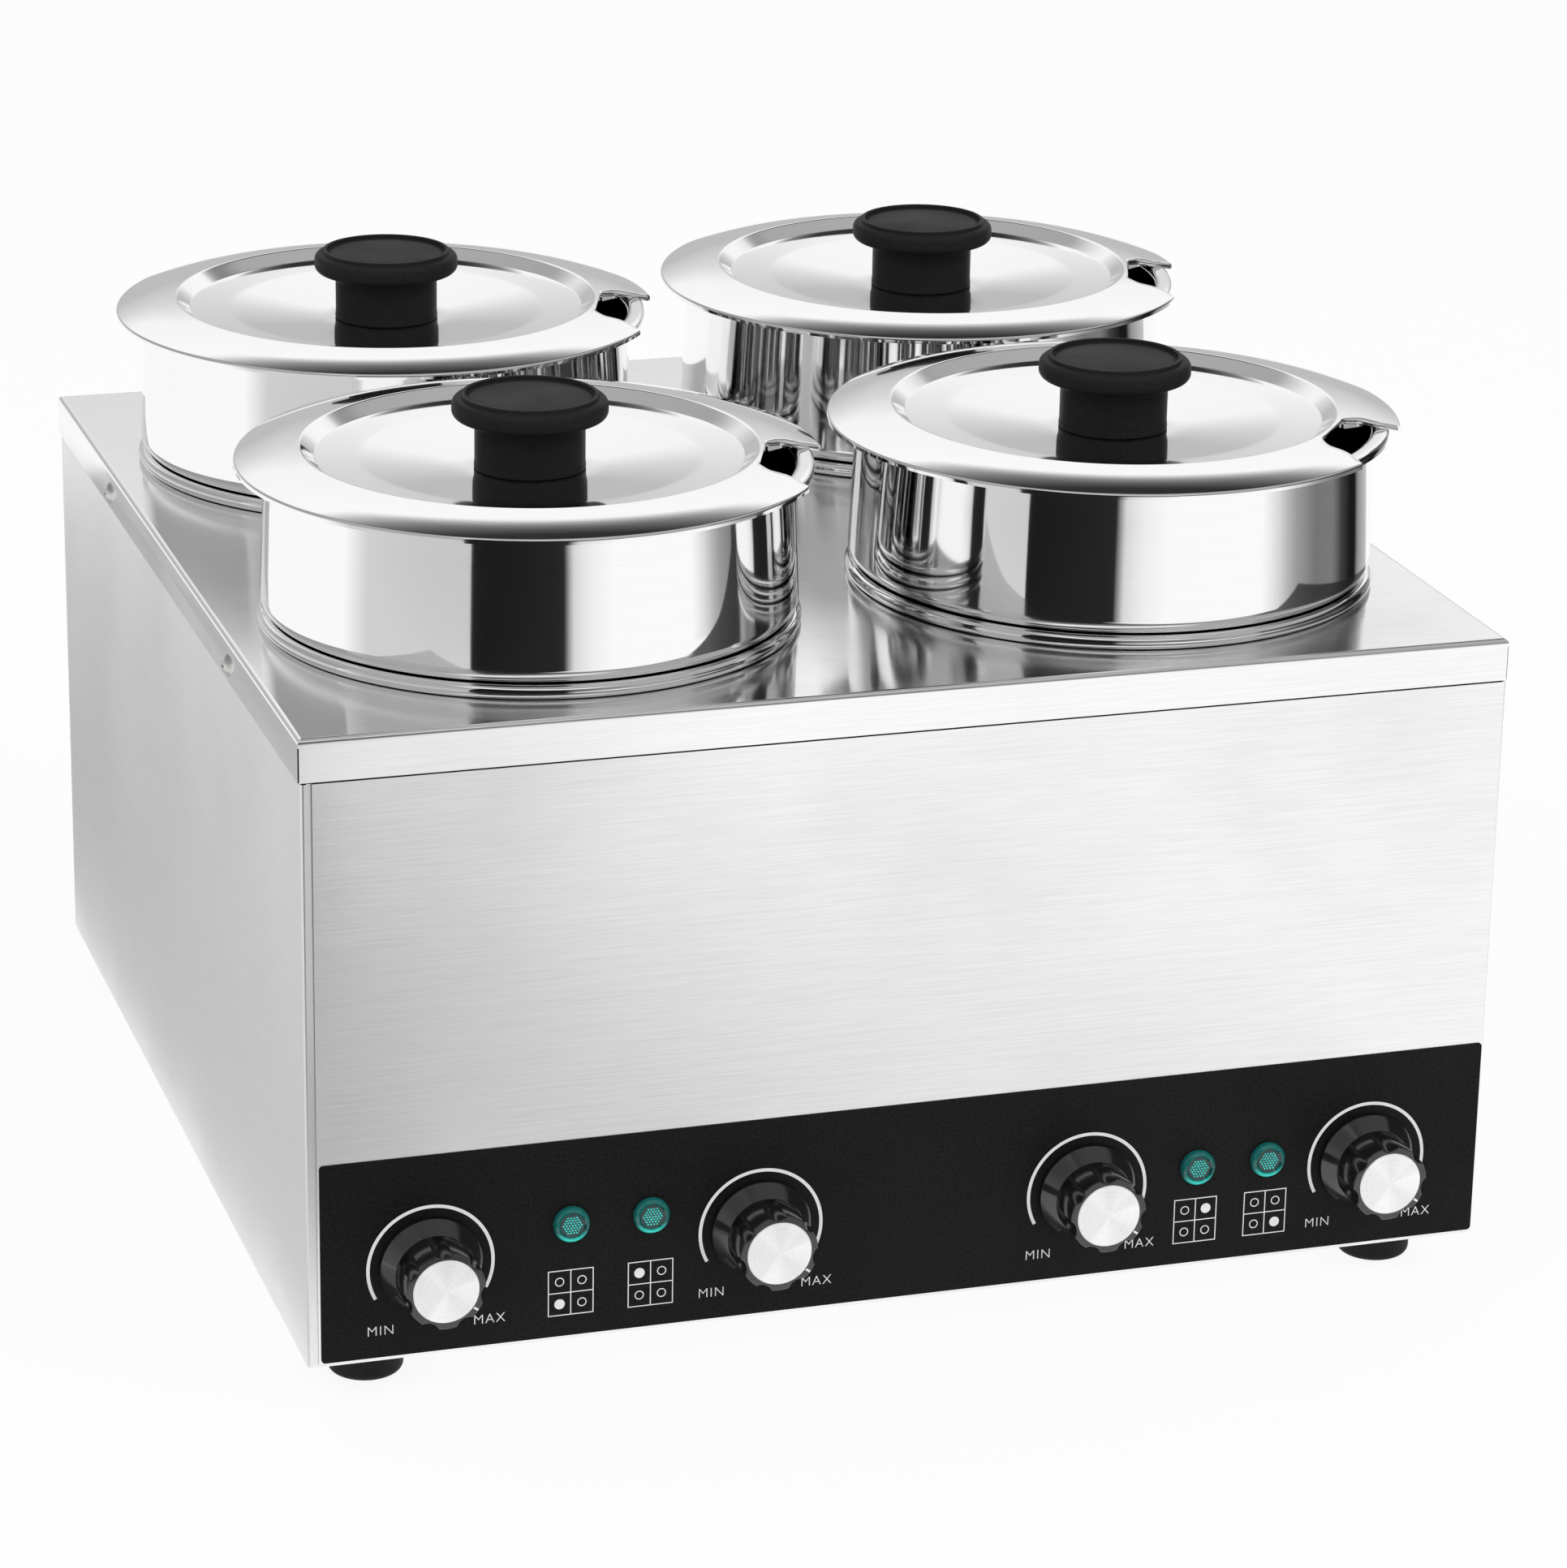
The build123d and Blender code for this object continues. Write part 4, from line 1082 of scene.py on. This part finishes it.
    def build(self, turnery: Turnery) -> None:
        """Make the four lids.

        Args:
            turnery: What turns them.
        """
        finish = TurnedSteel("lid_polish", roughness=0.06).mix()
        top = self.top_path()
        sheet = doubled(top, -self.sheet) + top[:1]
        for corner in Corner:
            node, middle = corner.node("lid"), corner.middle("lid_screw")
            piece = turnery.turn(f"{node}_pressed", sheet, middle, finish)
            turned = Matrix.Rotation(math.radians(self.notch_angle(corner)), 4, "Z")
            knife, lip = self.cutter(), self.lip()
            for mesh in (knife, lip):
                mesh.transform(Matrix.Translation((middle.x, middle.y, deck_level())) @ turned)
            tool = shown(knife, "notch_tool")
            work = piece.modifiers.new("notch", "BOOLEAN")
            work.operation, work.solver, work.object = "DIFFERENCE", "EXACT", tool
            settled(piece)
            dropped(tool)
            joined(piece.data, lip, finish)
            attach(piece, node)
            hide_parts(node)
            LOG.info("%s: %d faces", piece.name, len(piece.data.polygons))


@dataclass
class Handles:
    """Moulded mushroom handles, a raised ring round a shallow disc. Sizes in mm, heights from the seat."""

    plastic: Triple = (0.018, 0.018, 0.018)
    height: float = 27.4
    foot_radius: float = 20.4
    foot_height: float = 3.0
    foot_fillet: float = 0.8
    neck_radius: float = 20.1
    neck_fillet: float = 4.0
    cap_radius: float = 28.4
    cap_thickness: float = 7.6
    cap_fillet: float = 2.9
    lip_radius: float = 25.0
    lip_height: float = 1.3
    lip_fillet: float = 0.5
    lip_root: float = 0.3
    groove_radius: float = 23.4
    groove_depth: float = 1.5
    disc_radius: float = 22.4
    disc_rise: float = 0.8
    disc_steps: int = 12
    bore: float = 2.6
    bore_depth: float = 16.3
    longest_step: float = 6.0

    def outline(self, seat: float) -> list[Point]:
        """Closed outline of a handle that stands on the lid's seat.

        Args:
            seat: Height of the seat above the deck, in mm.

        Returns:
            The outline's points.
        """
        top = seat + self.height
        shelf, floor, inside = top - self.lip_height, top - self.groove_depth, seat + self.bore_depth
        below = shelf - self.cap_thickness
        body = rounded([
            (self.bore, seat, 0), (self.foot_radius, seat, self.foot_fillet),
            (self.neck_radius, seat + self.foot_height, self.foot_fillet),
            (self.neck_radius, below, self.neck_fillet),
            (self.cap_radius, below, self.cap_fillet), (self.cap_radius, shelf, self.cap_fillet),
            (self.lip_radius, shelf, self.lip_root), (self.lip_radius, top, self.lip_fillet),
            (self.groove_radius, top, self.lip_fillet), (self.groove_radius, floor, self.lip_root),
            (self.disc_radius, floor, 0)])
        turn = [math.radians(90 * step / self.disc_steps) for step in range(1, self.disc_steps + 1)]
        dome = [(self.disc_radius * math.cos(a), floor + self.disc_rise * math.sin(a)) for a in turn]
        bore = [(0, inside), (self.bore, inside), (self.bore, seat)]
        return divided(body + dome + bore, self.longest_step)

    def build(self, turnery: Turnery, seat: float) -> None:
        """Make the four handles on seats at that height above the deck, in mm."""
        finish = Moulded("handle_plastic", self.plastic, roughness=0.42, grain=1200.0, specular=0.045).mix()
        turnery.turn_four("lid_handle", "moulded", self.outline(seat), "lid", finish)


def dress(finish: Material, *nodes: str) -> None:
    """Give CAD nodes a finish.

    Args:
        finish: The material for all their slots.
        nodes: The nodes' names.
    """
    for node in nodes:
        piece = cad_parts[node]
        if not piece.material_slots:
            piece.data.materials.append(finish)
        for slot in piece.material_slots:
            slot.material = finish
        LOG.info("%s: %s", node, finish.name)


def each(kind: str) -> list[str]:
    """Names of the four CAD nodes of a kind."""
    return [corner.node(kind) for corner in Corner]


@dataclass
class Housing:
    """The box of brushed sheets on rubber feet, with its screws."""

    steel: Triple = (0.95, 0.95, 0.945)
    rubber: Triple = (0.010, 0.010, 0.010)
    screw: Triple = (0.62, 0.62, 0.61)

    def build(self) -> None:
        """Dress the sheets, feet and screws."""
        level = BrushedSteel("brushed_front", Grain.ALONG_X, self.steel, roughness=0.24)
        side = BrushedSteel("brushed_side", Grain.ALONG_Y, self.steel, roughness=0.34)
        deck = BrushedSteel("brushed_deck", Grain.ALONG_X, self.steel, roughness=0.13, contrast=0.04)
        feet = Moulded("foot_rubber", self.rubber, roughness=0.62, grain=900.0, depth=0.00006, specular=0.2)
        screws = PlainMetal("screw_steel", self.screw, roughness=0.28)
        dress(level.mix(), "front_panel", "rear_panel", "base_plate")
        dress(side.mix(), "left_panel", "right_panel")
        dress(deck.mix(), "top_deck")
        dress(feet.mix(), *each("foot"))
        dress(screws.mix(), "deck_screws", "base_screws", *each("lid_screw"))


@dataclass
class Insides:
    """Heaters, thermostats, lamp holders and wiring inside the housing."""

    sheath: Triple = (0.36, 0.33, 0.31)
    clamp: Triple = (0.55, 0.55, 0.55)
    copper: Triple = (0.72, 0.45, 0.30)
    spindle: Triple = (0.60, 0.60, 0.60)
    holder: Triple = (0.80, 0.80, 0.78)
    terminal: Triple = (0.82, 0.80, 0.74)
    gland: Triple = (0.03, 0.03, 0.03)
    sleeve: Triple = (0.75, 0.72, 0.62)
    switch: Triple = (0.55, 0.48, 0.36)

    def build(self) -> None:
        """Dress what sits inside and behind."""
        dress(PlainMetal("element_sheath", self.sheath, roughness=0.5).mix(), "heating_elements")
        dress(PlainMetal("clamp_steel", self.clamp, roughness=0.4).mix(), "element_clamps")
        dress(PlainMetal("sensor_copper", self.copper).mix(), "thermostat_sensors")
        dress(PlainMetal("spindle_steel", self.spindle).mix(), *each("spindle"))
        dress(Moulded("lamp_body", self.holder, roughness=0.45).mix(), "lamp_holders")
        dress(Moulded("terminal_plastic", self.terminal, roughness=0.45).mix(), "terminal_block")
        dress(Moulded("gland_plastic", self.gland, roughness=0.48).mix(), "cable_gland")
        braid = Moulded("wire_sleeve", self.sleeve, roughness=0.6, grain=2600.0, depth=0.00008)
        dress(braid.mix(), "wiring_harness")
        dress(Moulded("thermostat_plastic", self.switch, roughness=0.5).mix(), *each("thermostat"))


@dataclass
class Controls:
    """Printed strip, knobs with spun caps, and indicator lamps. Sizes in mm and degrees."""

    tree: Tree = field(default_factory=stamping_tree)
    ink: Material = field(default_factory=PrintedInk("white_ink").mix)
    film: Triple = (0.006, 0.006, 0.006)
    gloss: Triple = (0.010, 0.010, 0.0105)
    ink_lift: float = 0.04
    scale_radius: float = 22.8
    scale_line: float = 1.25
    scale_start: float = -28.0
    scale_end: float = 208.0
    scale_steps: int = 72
    word_height: float = 3.7
    word_thinning: float = 0.07
    capital_share: float = 0.7
    letter_space: float = 1.12
    letter_steps: int = 4
    low_word: Point = (-18.4, -23.3)
    high_word: Point = (21.4, -23.4)
    sign_level: float = 16.95
    sign_width: float = 16.6
    sign_height: float = 17.4
    sign_line: float = 0.36
    ring_radius: float = 1.55
    ring_steps: int = 28
    dot_radius: float = 1.95
    dot_steps: int = 32
    pointer_angle: float = -36.0
    pointer_from: float = 12.3
    pointer_to: float = 14.2
    pointer_width: float = 0.8
    lamp_face: float = 4.3
    prism_pitch: float = 1.12
    prism_radius: float = 0.5
    prism_tip: float = 0.3
    prism_length: float = 0.5
    prism_depth: float = 0.9
    prism_sides: int = 8
    prism_edge: float = 20.0

    def film_face(self) -> float:
        """Y of the strip's printed face, in metres."""
        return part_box("control_overlay")[0][1]

    def ribbon(self, radius: float, line: float, start: float, end: float, steps: int) -> Mesh:
        """Thin arc on the strip, about the origin.

        Args:
            radius: Middle radius, in mm.
            line: Line width, in mm.
            start: First angle, from +X towards +Z, in degrees.
            end: Last angle.
            steps: Number of straight steps.

        Returns:
            A closed mesh as thick as the ink.
        """
        inner, outer = radius - line / 2, radius + line / 2
        corners = ((inner, 0), (outer, 0), (outer, -self.ink_lift), (inner, -self.ink_lift))
        turn = [math.radians(start + (end - start) * k / steps) for k in range(steps + 1)]
        sections = [[(r * math.cos(a) * MM, y * MM, r * math.sin(a) * MM) for r, y in corners] for a in turn]
        return lofted("ribbon", sections, PRINT_EDGE, capped=end - start < 360)

    def bars(self, boxes: list[Quad]) -> Mesh:
        """Thin bars on the strip, about the origin.

        Args:
            boxes: Low and high x, then low and high z, of each bar, in mm.

        Returns:
            A closed mesh as thick as the ink.
        """
        points, faces = [], []
        for x0, x1, z0, z1 in boxes:
            first = len(points)
            points += [(x * MM, y * MM, z * MM) for y in (0, -self.ink_lift)
                       for x, z in ((x0, z0), (x1, z0), (x1, z1), (x0, z1))]
            faces += [[first + j for j in side] for side in
                      ((0, 1, 2, 3), (7, 6, 5, 4), (0, 4, 5, 1), (1, 5, 6, 2), (2, 6, 7, 3), (3, 7, 4, 0))]
        return tidied(mesh_of("bars", points, faces), PRINT_EDGE)

    def disc(self, radius: float, steps: int) -> Mesh:
        """Thin filled dot on the strip, about the origin.

        Args:
            radius: Its radius, in mm.
            steps: Number of straight steps.

        Returns:
            A closed mesh as thick as the ink.
        """
        turn = [math.tau * k / steps for k in range(steps)]
        sections = [[(radius * math.cos(a) * MM, y * MM, radius * math.sin(a) * MM) for a in turn]
                    for y in (0, -self.ink_lift)]
        return lofted("disc", sections, PRINT_EDGE)

    def stamp(self, name: str, mark: Mesh, spots: list[Triple], finish: Material) -> None:
        """Repeat a mark at several places on the strip.

        Args:
            name: Name of the new piece.
            mark: The mark, about the origin.
            spots: Where it goes, in metres.
            finish: Its material.
        """
        template = shown(mark, "mark")
        piece = baked(self.tree, name, mesh_of(name, spots), Mark=template, Finish=finish)
        dropped(template)
        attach(piece, HOUSING)
        LOG.info("%s: %d marks", name, len(spots))

    def word(self, text: str) -> Mesh:
        """Raised lettering on the strip, about the origin.

        Args:
            text: The word.

        Returns:
            A mesh as thick as the ink.
        """
        curve = bpy.data.curves.new(text, "FONT")
        curve.body, curve.align_x, curve.align_y = text, "CENTER", "CENTER"
        curve.size = self.word_height * MM / self.capital_share
        curve.space_character, curve.resolution_u = self.letter_space, self.letter_steps
        curve.offset, curve.extrude = -self.word_thinning * MM, self.ink_lift * MM / 2
        letters = shown(curve, text)
        mesh = evaluated(letters)
        bpy.data.objects.remove(letters)
        bpy.data.curves.remove(curve)
        mesh.transform(UPRIGHT)
        mesh.materials.clear()
        return tidied(mesh, PRINT_EDGE)

    def print_scales(self) -> None:
        """Print the arc and the end words round each knob."""
        face = self.film_face()
        spots = [corner.middle("knob") for corner in Corner]
        arc = self.ribbon(self.scale_radius, self.scale_line, self.scale_start, self.scale_end,
                          self.scale_steps)
        self.stamp("scale_arcs", arc, [(p.x, face, p.z) for p in spots], self.ink)
        for text, (dx, dz) in (("MIN", self.low_word), ("MAX", self.high_word)):
            places = [(p.x + dx * MM, face - self.ink_lift * MM / 2, p.z + dz * MM) for p in spots]
            self.stamp(f"scale_words_{text.lower()}", self.word(text), places, self.ink)

    def print_signs(self) -> None:
        """Print the pot plan under each lamp, with a filled dot for the lamp's own pot."""
        face, level = self.film_face(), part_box("control_overlay")[0][2] + self.sign_level * MM
        w, h, t = self.sign_width / 2, self.sign_height / 2, self.sign_line / 2
        rules = [(-w - t, w + t, z - t, z + t) for z in (-h, 0, h)]
        for x in (-w, 0, w):
            rules += [(x - t, x + t, -h + t, -t), (x - t, x + t, t, h - t)]
        rings, dots, plans = [], [], []
        for corner in Corner:
            heart = Vector((corner.middle("lamp_lens").x, face, level))
            plans.append(tuple(heart))
            for other in Corner:
                side = other.middle("pot")
                spot = heart + Vector((math.copysign(w / 2, side.x), 0, math.copysign(h / 2, side.y))) * MM
                (dots if other is corner else rings).append(tuple(spot))
        ring = self.ribbon(self.ring_radius, self.sign_line, 0, 360, self.ring_steps)
        self.stamp("sign_plans", self.bars(rules), plans, self.ink)
        self.stamp("sign_rings", ring, rings, self.ink)
        self.stamp("sign_dots", self.disc(self.dot_radius, self.dot_steps), dots, self.ink)

    def knobs(self) -> None:
        """Dress the knobs and caps, and print the pointer on each knob."""
        gloss = Moulded("knob_plastic", self.gloss, roughness=0.12, grain=1100.0, depth=0.000006,
                        specular=1.0).mix()
        half = self.pointer_width / 2
        turned = Matrix.Rotation(math.radians(-self.pointer_angle), 4, "Y")
        for corner in Corner:
            knob, cap = corner.node("knob"), corner.node("knob_cap")
            middle = corner.middle("knob_cap")
            dress(gloss, knob)
            dress(SpunDisc(corner.node("cap_aluminium"), middle).mix(), cap)
            pointer = self.bars([(self.pointer_from, self.pointer_to, -half, half)])
            pointer.transform(Matrix.Translation((middle.x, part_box(knob)[0][1], middle.z)) @ turned)
            pointer.materials.append(self.ink)
            piece = shown(pointer, corner.node("pointer"))
            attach(piece, knob)
            LOG.info("%s on %s", piece.name, knob)

    def lamps(self) -> None:
        """Dress the lamp lenses and set the prisms into their faces."""
        rise = self.prism_pitch * math.sqrt(3) / 2
        reach = int(self.lamp_face / rise) + 1
        grid = [((column + (row % 2) / 2) * self.prism_pitch, row * rise)
                for row in range(-reach, reach + 1) for column in range(-reach - 1, reach + 2)]
        inside = [spot for spot in grid if math.hypot(*spot) <= self.lamp_face - self.prism_radius]
        spots = []
        for corner in Corner:
            node, middle = corner.node("lamp_lens"), corner.middle("lamp_lens")
            dress(TintedLens(node, middle).mix(), node)
            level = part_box(node)[0][1] + self.prism_depth * MM
            spots += [(middle.x + x * MM, level, middle.z + z * MM) for x, z in inside]
        work, mesh = bmesh.new(), bpy.data.meshes.new("prism")
        bmesh.ops.create_cone(work, cap_ends=True, segments=self.prism_sides, radius1=self.prism_radius * MM,
                              radius2=self.prism_tip * MM, depth=self.prism_length * MM, matrix=UPRIGHT)
        work.to_mesh(mesh)
        work.free()
        finish = ClearPrism("lamp_prism").mix()
        self.stamp("lamp_prisms", tidied(mesh, self.prism_edge), spots, finish)

    def build(self) -> None:
        """Make and dress the control strip and what it carries."""
        film = Moulded("black_film", self.film, roughness=0.5, grain=900.0, depth=0.00006, variation=0.6,
                       specular=0.14)
        dress(film.mix(), "control_overlay")
        self.print_scales()
        self.print_signs()
        self.knobs()
        self.lamps()


@dataclass(frozen=True)
class Board:
    """Flat board beside the object that only mirrors see.

    Columns hold x and tone, rows hold y and gain, places in metres. A point's brightness is its tone times
    its gain, 1 at most.
    """

    name: str
    columns: tuple[Point, ...]
    rows: tuple[Point, ...]

    def points(self, level: float) -> list[list[Quad]]:
        """Rows of the board's points at a level, with place in metres and brightness."""
        return [[(x, y, level, min(1.0, tone * gain)) for x, tone in self.columns] for y, gain in self.rows]


@dataclass
class Studio:
    """White room and floor, soft lamps, the camera, and grey cards and boards for the steel to mirror.

    Lengths are in metres. Ramps of the mirrored room hold height, as the sine of its angle, and brightness.
    Turns hold the cosines of the bearing between which one ramp gives way to the next. A card holds the plan
    of its points, each with its brightness on the card's lower and upper part. Softboxes hold a name, a place
    and a power in watts.
    """

    azimuth: float = 17.763
    elevation: float = 19.419
    roll: float = 1.031
    place: Triple = (-0.59638, -1.92898, 0.84967)
    lens: float = 123.953
    sensor: float = 36.0
    sight: float = 50.0
    daylight: float = 0.75
    aim: Triple = (0, 0, 0.2)
    softbox_size: float = 1.4
    softboxes: tuple[tuple[str, Triple, float], ...] = (
        ("softbox_right", (1.6, -1.7, 2.2), 26), ("softbox_left", (-1.9, -0.6, 1.9), 14))
    floor_glow: float = 0.9
    floor_size: float = 12.0
    ceiling_tilt: float = 0.17
    flank_turn: Point = (-0.9, -0.6)
    far_turn: Point = (0.7, 0.9)
    far_side: tuple[Point, ...] = (
        (0.0, 0.52), (0.14, 0.52), (0.24, 0.70), (0.32, 0.95), (0.56, 1.0), (0.607, 0.48), (0.64, 0.26),
        (0.672, 0.15), (0.702, 0.085), (0.735, 0.03), (0.87, 0.02), (0.95, 0.3), (1.0, 0.42))
    flanks: tuple[Point, ...] = ((0.0, 0.5), (0.25, 0.3), (0.5, 0.38), (1.0, 0.42))
    near_side: tuple[Point, ...] = (
        (0.0, 1.0), (0.12, 0.9), (0.2, 0.6), (0.28, 0.2), (0.58, 0.15), (0.72, 0.15), (0.75, 1.0),
        (0.86, 1.0), (0.89, 0.2), (1.0, 0.42))
    lower_part: Point = (0.005, 0.15)
    upper_part: Point = (0.42, 0.7)
    left_card: tuple[Quad, ...] = (
        (-0.889, -0.038, 1.0, 0.55), (-0.9, -0.12, 0.83, 0.46), (-0.898, -0.209, 0.65, 0.4),
        (-0.39, -0.48, 0.65, 0.4), (-0.39, -0.481, 0.012, 0.01), (-0.13, -0.845, 0.02, 0.01),
        (-0.106, -0.864, 0.36, 0.05), (-0.082, -0.87, 0.70, 0.1), (-0.03, -0.89, 0.82, 0.15),
        (0.034, -0.91, 0.91, 0.2), (0.17, -0.95, 1.0, 0.25))
    right_card: tuple[Quad, ...] = (
        (0.735, -0.72, 1.0, 0.12), (0.775, -0.686, 0.9, 0.1), (0.83, -0.62, 0.70, 0.1),
        (0.871, -0.566, 0.5, 0.08), (0.913, -0.493, 0.34, 0.06), (0.976, -0.324, 0.185, 0.04),
        (1.0, -0.13, 0.2, 0.04), (0.991, -0.013, 0.05, 0.02), (0.962, 0.115, 0.01, 0.01),
        (0.93, 0.195, 0.01, 0.01), (0.9, 0.255, 0.3, 0.1), (0.777, 0.424, 0.58, 0.2))
    boards: tuple[Board, ...] = (
        Board("board_front",
              ((-0.5, 0.38), (-0.2, 0.42), (-0.08, 0.55), (0.0, 0.74), (0.1, 0.9), (0.25, 1.0)),
              ((-0.8, 1.1), (-0.6, 1.0), (-0.36, 0.8))),
        Board("board_rear", ((-0.2, 0.72), (0.6, 0.72)), ((0.27, 1.0), (0.85, 1.0))),
        Board("board_right", ((0.25, 0.72), (0.6, 0.72)), ((-0.15, 1.0), (0.26, 1.0))),
        Board("board_left", ((-0.48, 1.0), (-0.24, 0.82)),
              ((-0.3, 0.72), (0.1, 0.62), (0.5, 0.5), (0.95, 0.46))))

    def camera(self) -> None:
        """Set the camera at the photograph's viewing angle."""
        az, el, roll = (math.radians(a) for a in (self.azimuth, self.elevation, self.roll))
        ahead = Vector((math.sin(az) * math.cos(el), math.cos(az) * math.cos(el), -math.sin(el)))
        right = Vector((math.cos(az), -math.sin(az), 0))
        up = right.cross(ahead)
        tilted = right * math.cos(roll) + up * math.sin(roll)
        upright = up * math.cos(roll) - right * math.sin(roll)
        lens = bpy.data.cameras.new("photo_camera")
        lens.sensor_width, lens.lens, lens.clip_end = self.sensor, self.lens, self.sight
        body = shown(lens, "photo_camera")
        axes = Matrix((tilted, upright, -ahead)).transposed().to_4x4()
        body.matrix_world = Matrix.Translation(self.place) @ axes
        bpy.context.scene.camera = body

    def mirrored(self, draw: Drawing) -> Socket:
        """Grey of the room as mirrors see it: by height, on the near side, the flanks and the far side.

        Args:
            draw: The world's tree.

        Returns:
            The grey.
        """
        azimuth = math.radians(self.azimuth)
        ahead, right = (math.sin(azimuth), math.cos(azimuth), 0), (math.cos(azimuth), -math.sin(azimuth), 0)
        way = draw.node("ShaderNodeTexCoord").outputs["Generated"]
        upwards = (right[0] * self.ceiling_tilt, right[1] * self.ceiling_tilt, 1)
        height = draw.vector("DOT_PRODUCT", way, upwards)
        bearing = draw.vector("NORMALIZE", draw.vector("MULTIPLY", way, (1, 1, 0)))
        facing = draw.vector("DOT_PRODUCT", bearing, ahead)
        near, flank, far = (draw.ramp(height, [(spot, (grey, grey, grey)) for spot, grey in stops])
                            for stops in (self.near_side, self.flanks, self.far_side))
        beside = draw.ranged(facing, *self.flank_turn, interpolation_type="SMOOTHSTEP")
        behind = draw.ranged(facing, *self.far_turn, interpolation_type="SMOOTHSTEP")
        return draw.blend(behind, draw.blend(beside, near, flank), far)

    def surroundings(self) -> None:
        """White room that lights evenly, is white where it is seen and grey where steel mirrors it."""
        world = bpy.data.worlds.new("white_room")
        bpy.context.scene.world = world
        world.use_nodes = True
        draw = Drawing(world.node_tree)
        lit = draw.tree.nodes["Background"]
        draw.feed(lit.inputs["Color"], WHITE)
        draw.feed(lit.inputs["Strength"], self.daylight)
        plain = draw.node("ShaderNodeBackground", {"Color": WHITE})
        room = draw.node("ShaderNodeBackground", {"Color": self.mirrored(draw)})
        seen = draw.rays("Is Camera Ray", "Is Transmission Ray")
        last = draw.node("ShaderNodeMixShader", {"Fac": seen, 1: lit.outputs[0], 2: plain.outputs[0]})
        glossy = draw.rays("Is Glossy Ray")
        last = draw.node("ShaderNodeMixShader", {"Fac": glossy, 1: last.outputs[0], 2: room.outputs[0]})
        draw.feed(draw.tree.nodes["World Output"].inputs["Surface"], last.outputs[0])

    def floor(self) -> None:
        """Pale floor that stays near white where it is seen and keeps a soft shadow."""
        half = self.floor_size / 2
        corners = [(-half, -half, 0), (half, -half, 0), (half, half, 0), (-half, half, 0)]
        mesh = mesh_of("floor", corners, [[0, 1, 2, 3]])
        made = Recipe("floor_white")
        made.set(Base_Color=(0.9, 0.9, 0.9, 1), Roughness=0.9, Specular_IOR_Level=0.1)
        glow = made.node("ShaderNodeEmission")
        seen = made.rays("Is Camera Ray", "Is Glossy Ray", "Is Transmission Ray")
        share = made.number("MULTIPLY", seen, self.floor_glow)
        given = {"Fac": share, 1: made.shader.outputs[0], 2: glow.outputs[0]}
        made.show(made.node("ShaderNodeMixShader", given))
        mesh.materials.append(made.material)
        shown(mesh, "floor")

    def lamp(self, name: str, spot: Triple, power: float) -> None:
        """Hang a soft square lamp.

        Args:
            name: Its name.
            spot: Where it hangs.
            power: Power in watts.
        """
        light = bpy.data.lights.new(name, "AREA")
        light.size, light.energy = self.softbox_size, power
        body = shown(light, name)
        ahead = (Vector(self.aim) - Vector(spot)).normalized()
        body.matrix_world = Matrix.Translation(spot) @ ahead.to_track_quat("-Z", "Y").to_matrix().to_4x4()
        body.visible_glossy = False

    def card(self, name: str, rows: list[list[Quad]]) -> None:
        """Put up a card that only mirrors see.

        Args:
            name: Its name.
            rows: Rows of its points, with place and brightness, 0 to 1.
        """
        wide = len(rows[0])
        points = [point for row in rows for point in row]
        faces = [[r * wide + k, r * wide + k + 1, (r + 1) * wide + k + 1, (r + 1) * wide + k]
                 for r in range(len(rows) - 1) for k in range(wide - 1)]
        mesh = mesh_of(name, [point[:3] for point in points], faces)
        shades = [point[3] for point in points]
        mesh.attributes.new("shade", "FLOAT", "POINT").data.foreach_set("value", shades)
        made = Recipe(name)
        shade = made.node("ShaderNodeAttribute", attribute_name="shade").outputs["Fac"]
        made.show(made.node("ShaderNodeEmission", {"Strength": shade}))
        mesh.materials.append(made.material)
        card = shown(mesh, name)
        card.visible_camera = card.visible_diffuse = card.visible_shadow = card.visible_transmission = False

    def cards(self) -> None:
        """Stand the cards round the object and lay the boards beside it."""
        for name, spots in (("card_left", self.left_card), ("card_right", self.right_card)):
            lower = [[(x, y, z, shade) for x, y, shade, _ in spots] for z in self.lower_part]
            upper = [[(x, y, z, shade) for x, y, _, shade in spots] for z in self.upper_part]
            self.card(name, lower + upper)
        for board in self.boards:
            self.card(board.name, board.points(self.lower_part[0]))

    def build(self) -> None:
        """Set up the whole studio."""
        bpy.context.scene.view_settings.view_transform = "Standard"
        self.camera()
        self.surroundings()
        self.floor()
        for name, spot, power in self.softboxes:
            self.lamp(name, spot, power)
        self.cards()


def main() -> None:
    """Build every sub-assembly in order."""
    logging.basicConfig(level=logging.INFO, format="%(name)s: %(message)s")
    Studio().build()
    Housing().build()
    Insides().build()
    turnery, lids = Turnery(), Lids()
    Wells().build(turnery)
    Pots().build(turnery)
    lids.build(turnery)
    Handles().build(turnery, lids.levels()["seat"])
    Controls().build()


if __name__ == "__main__":
    main()
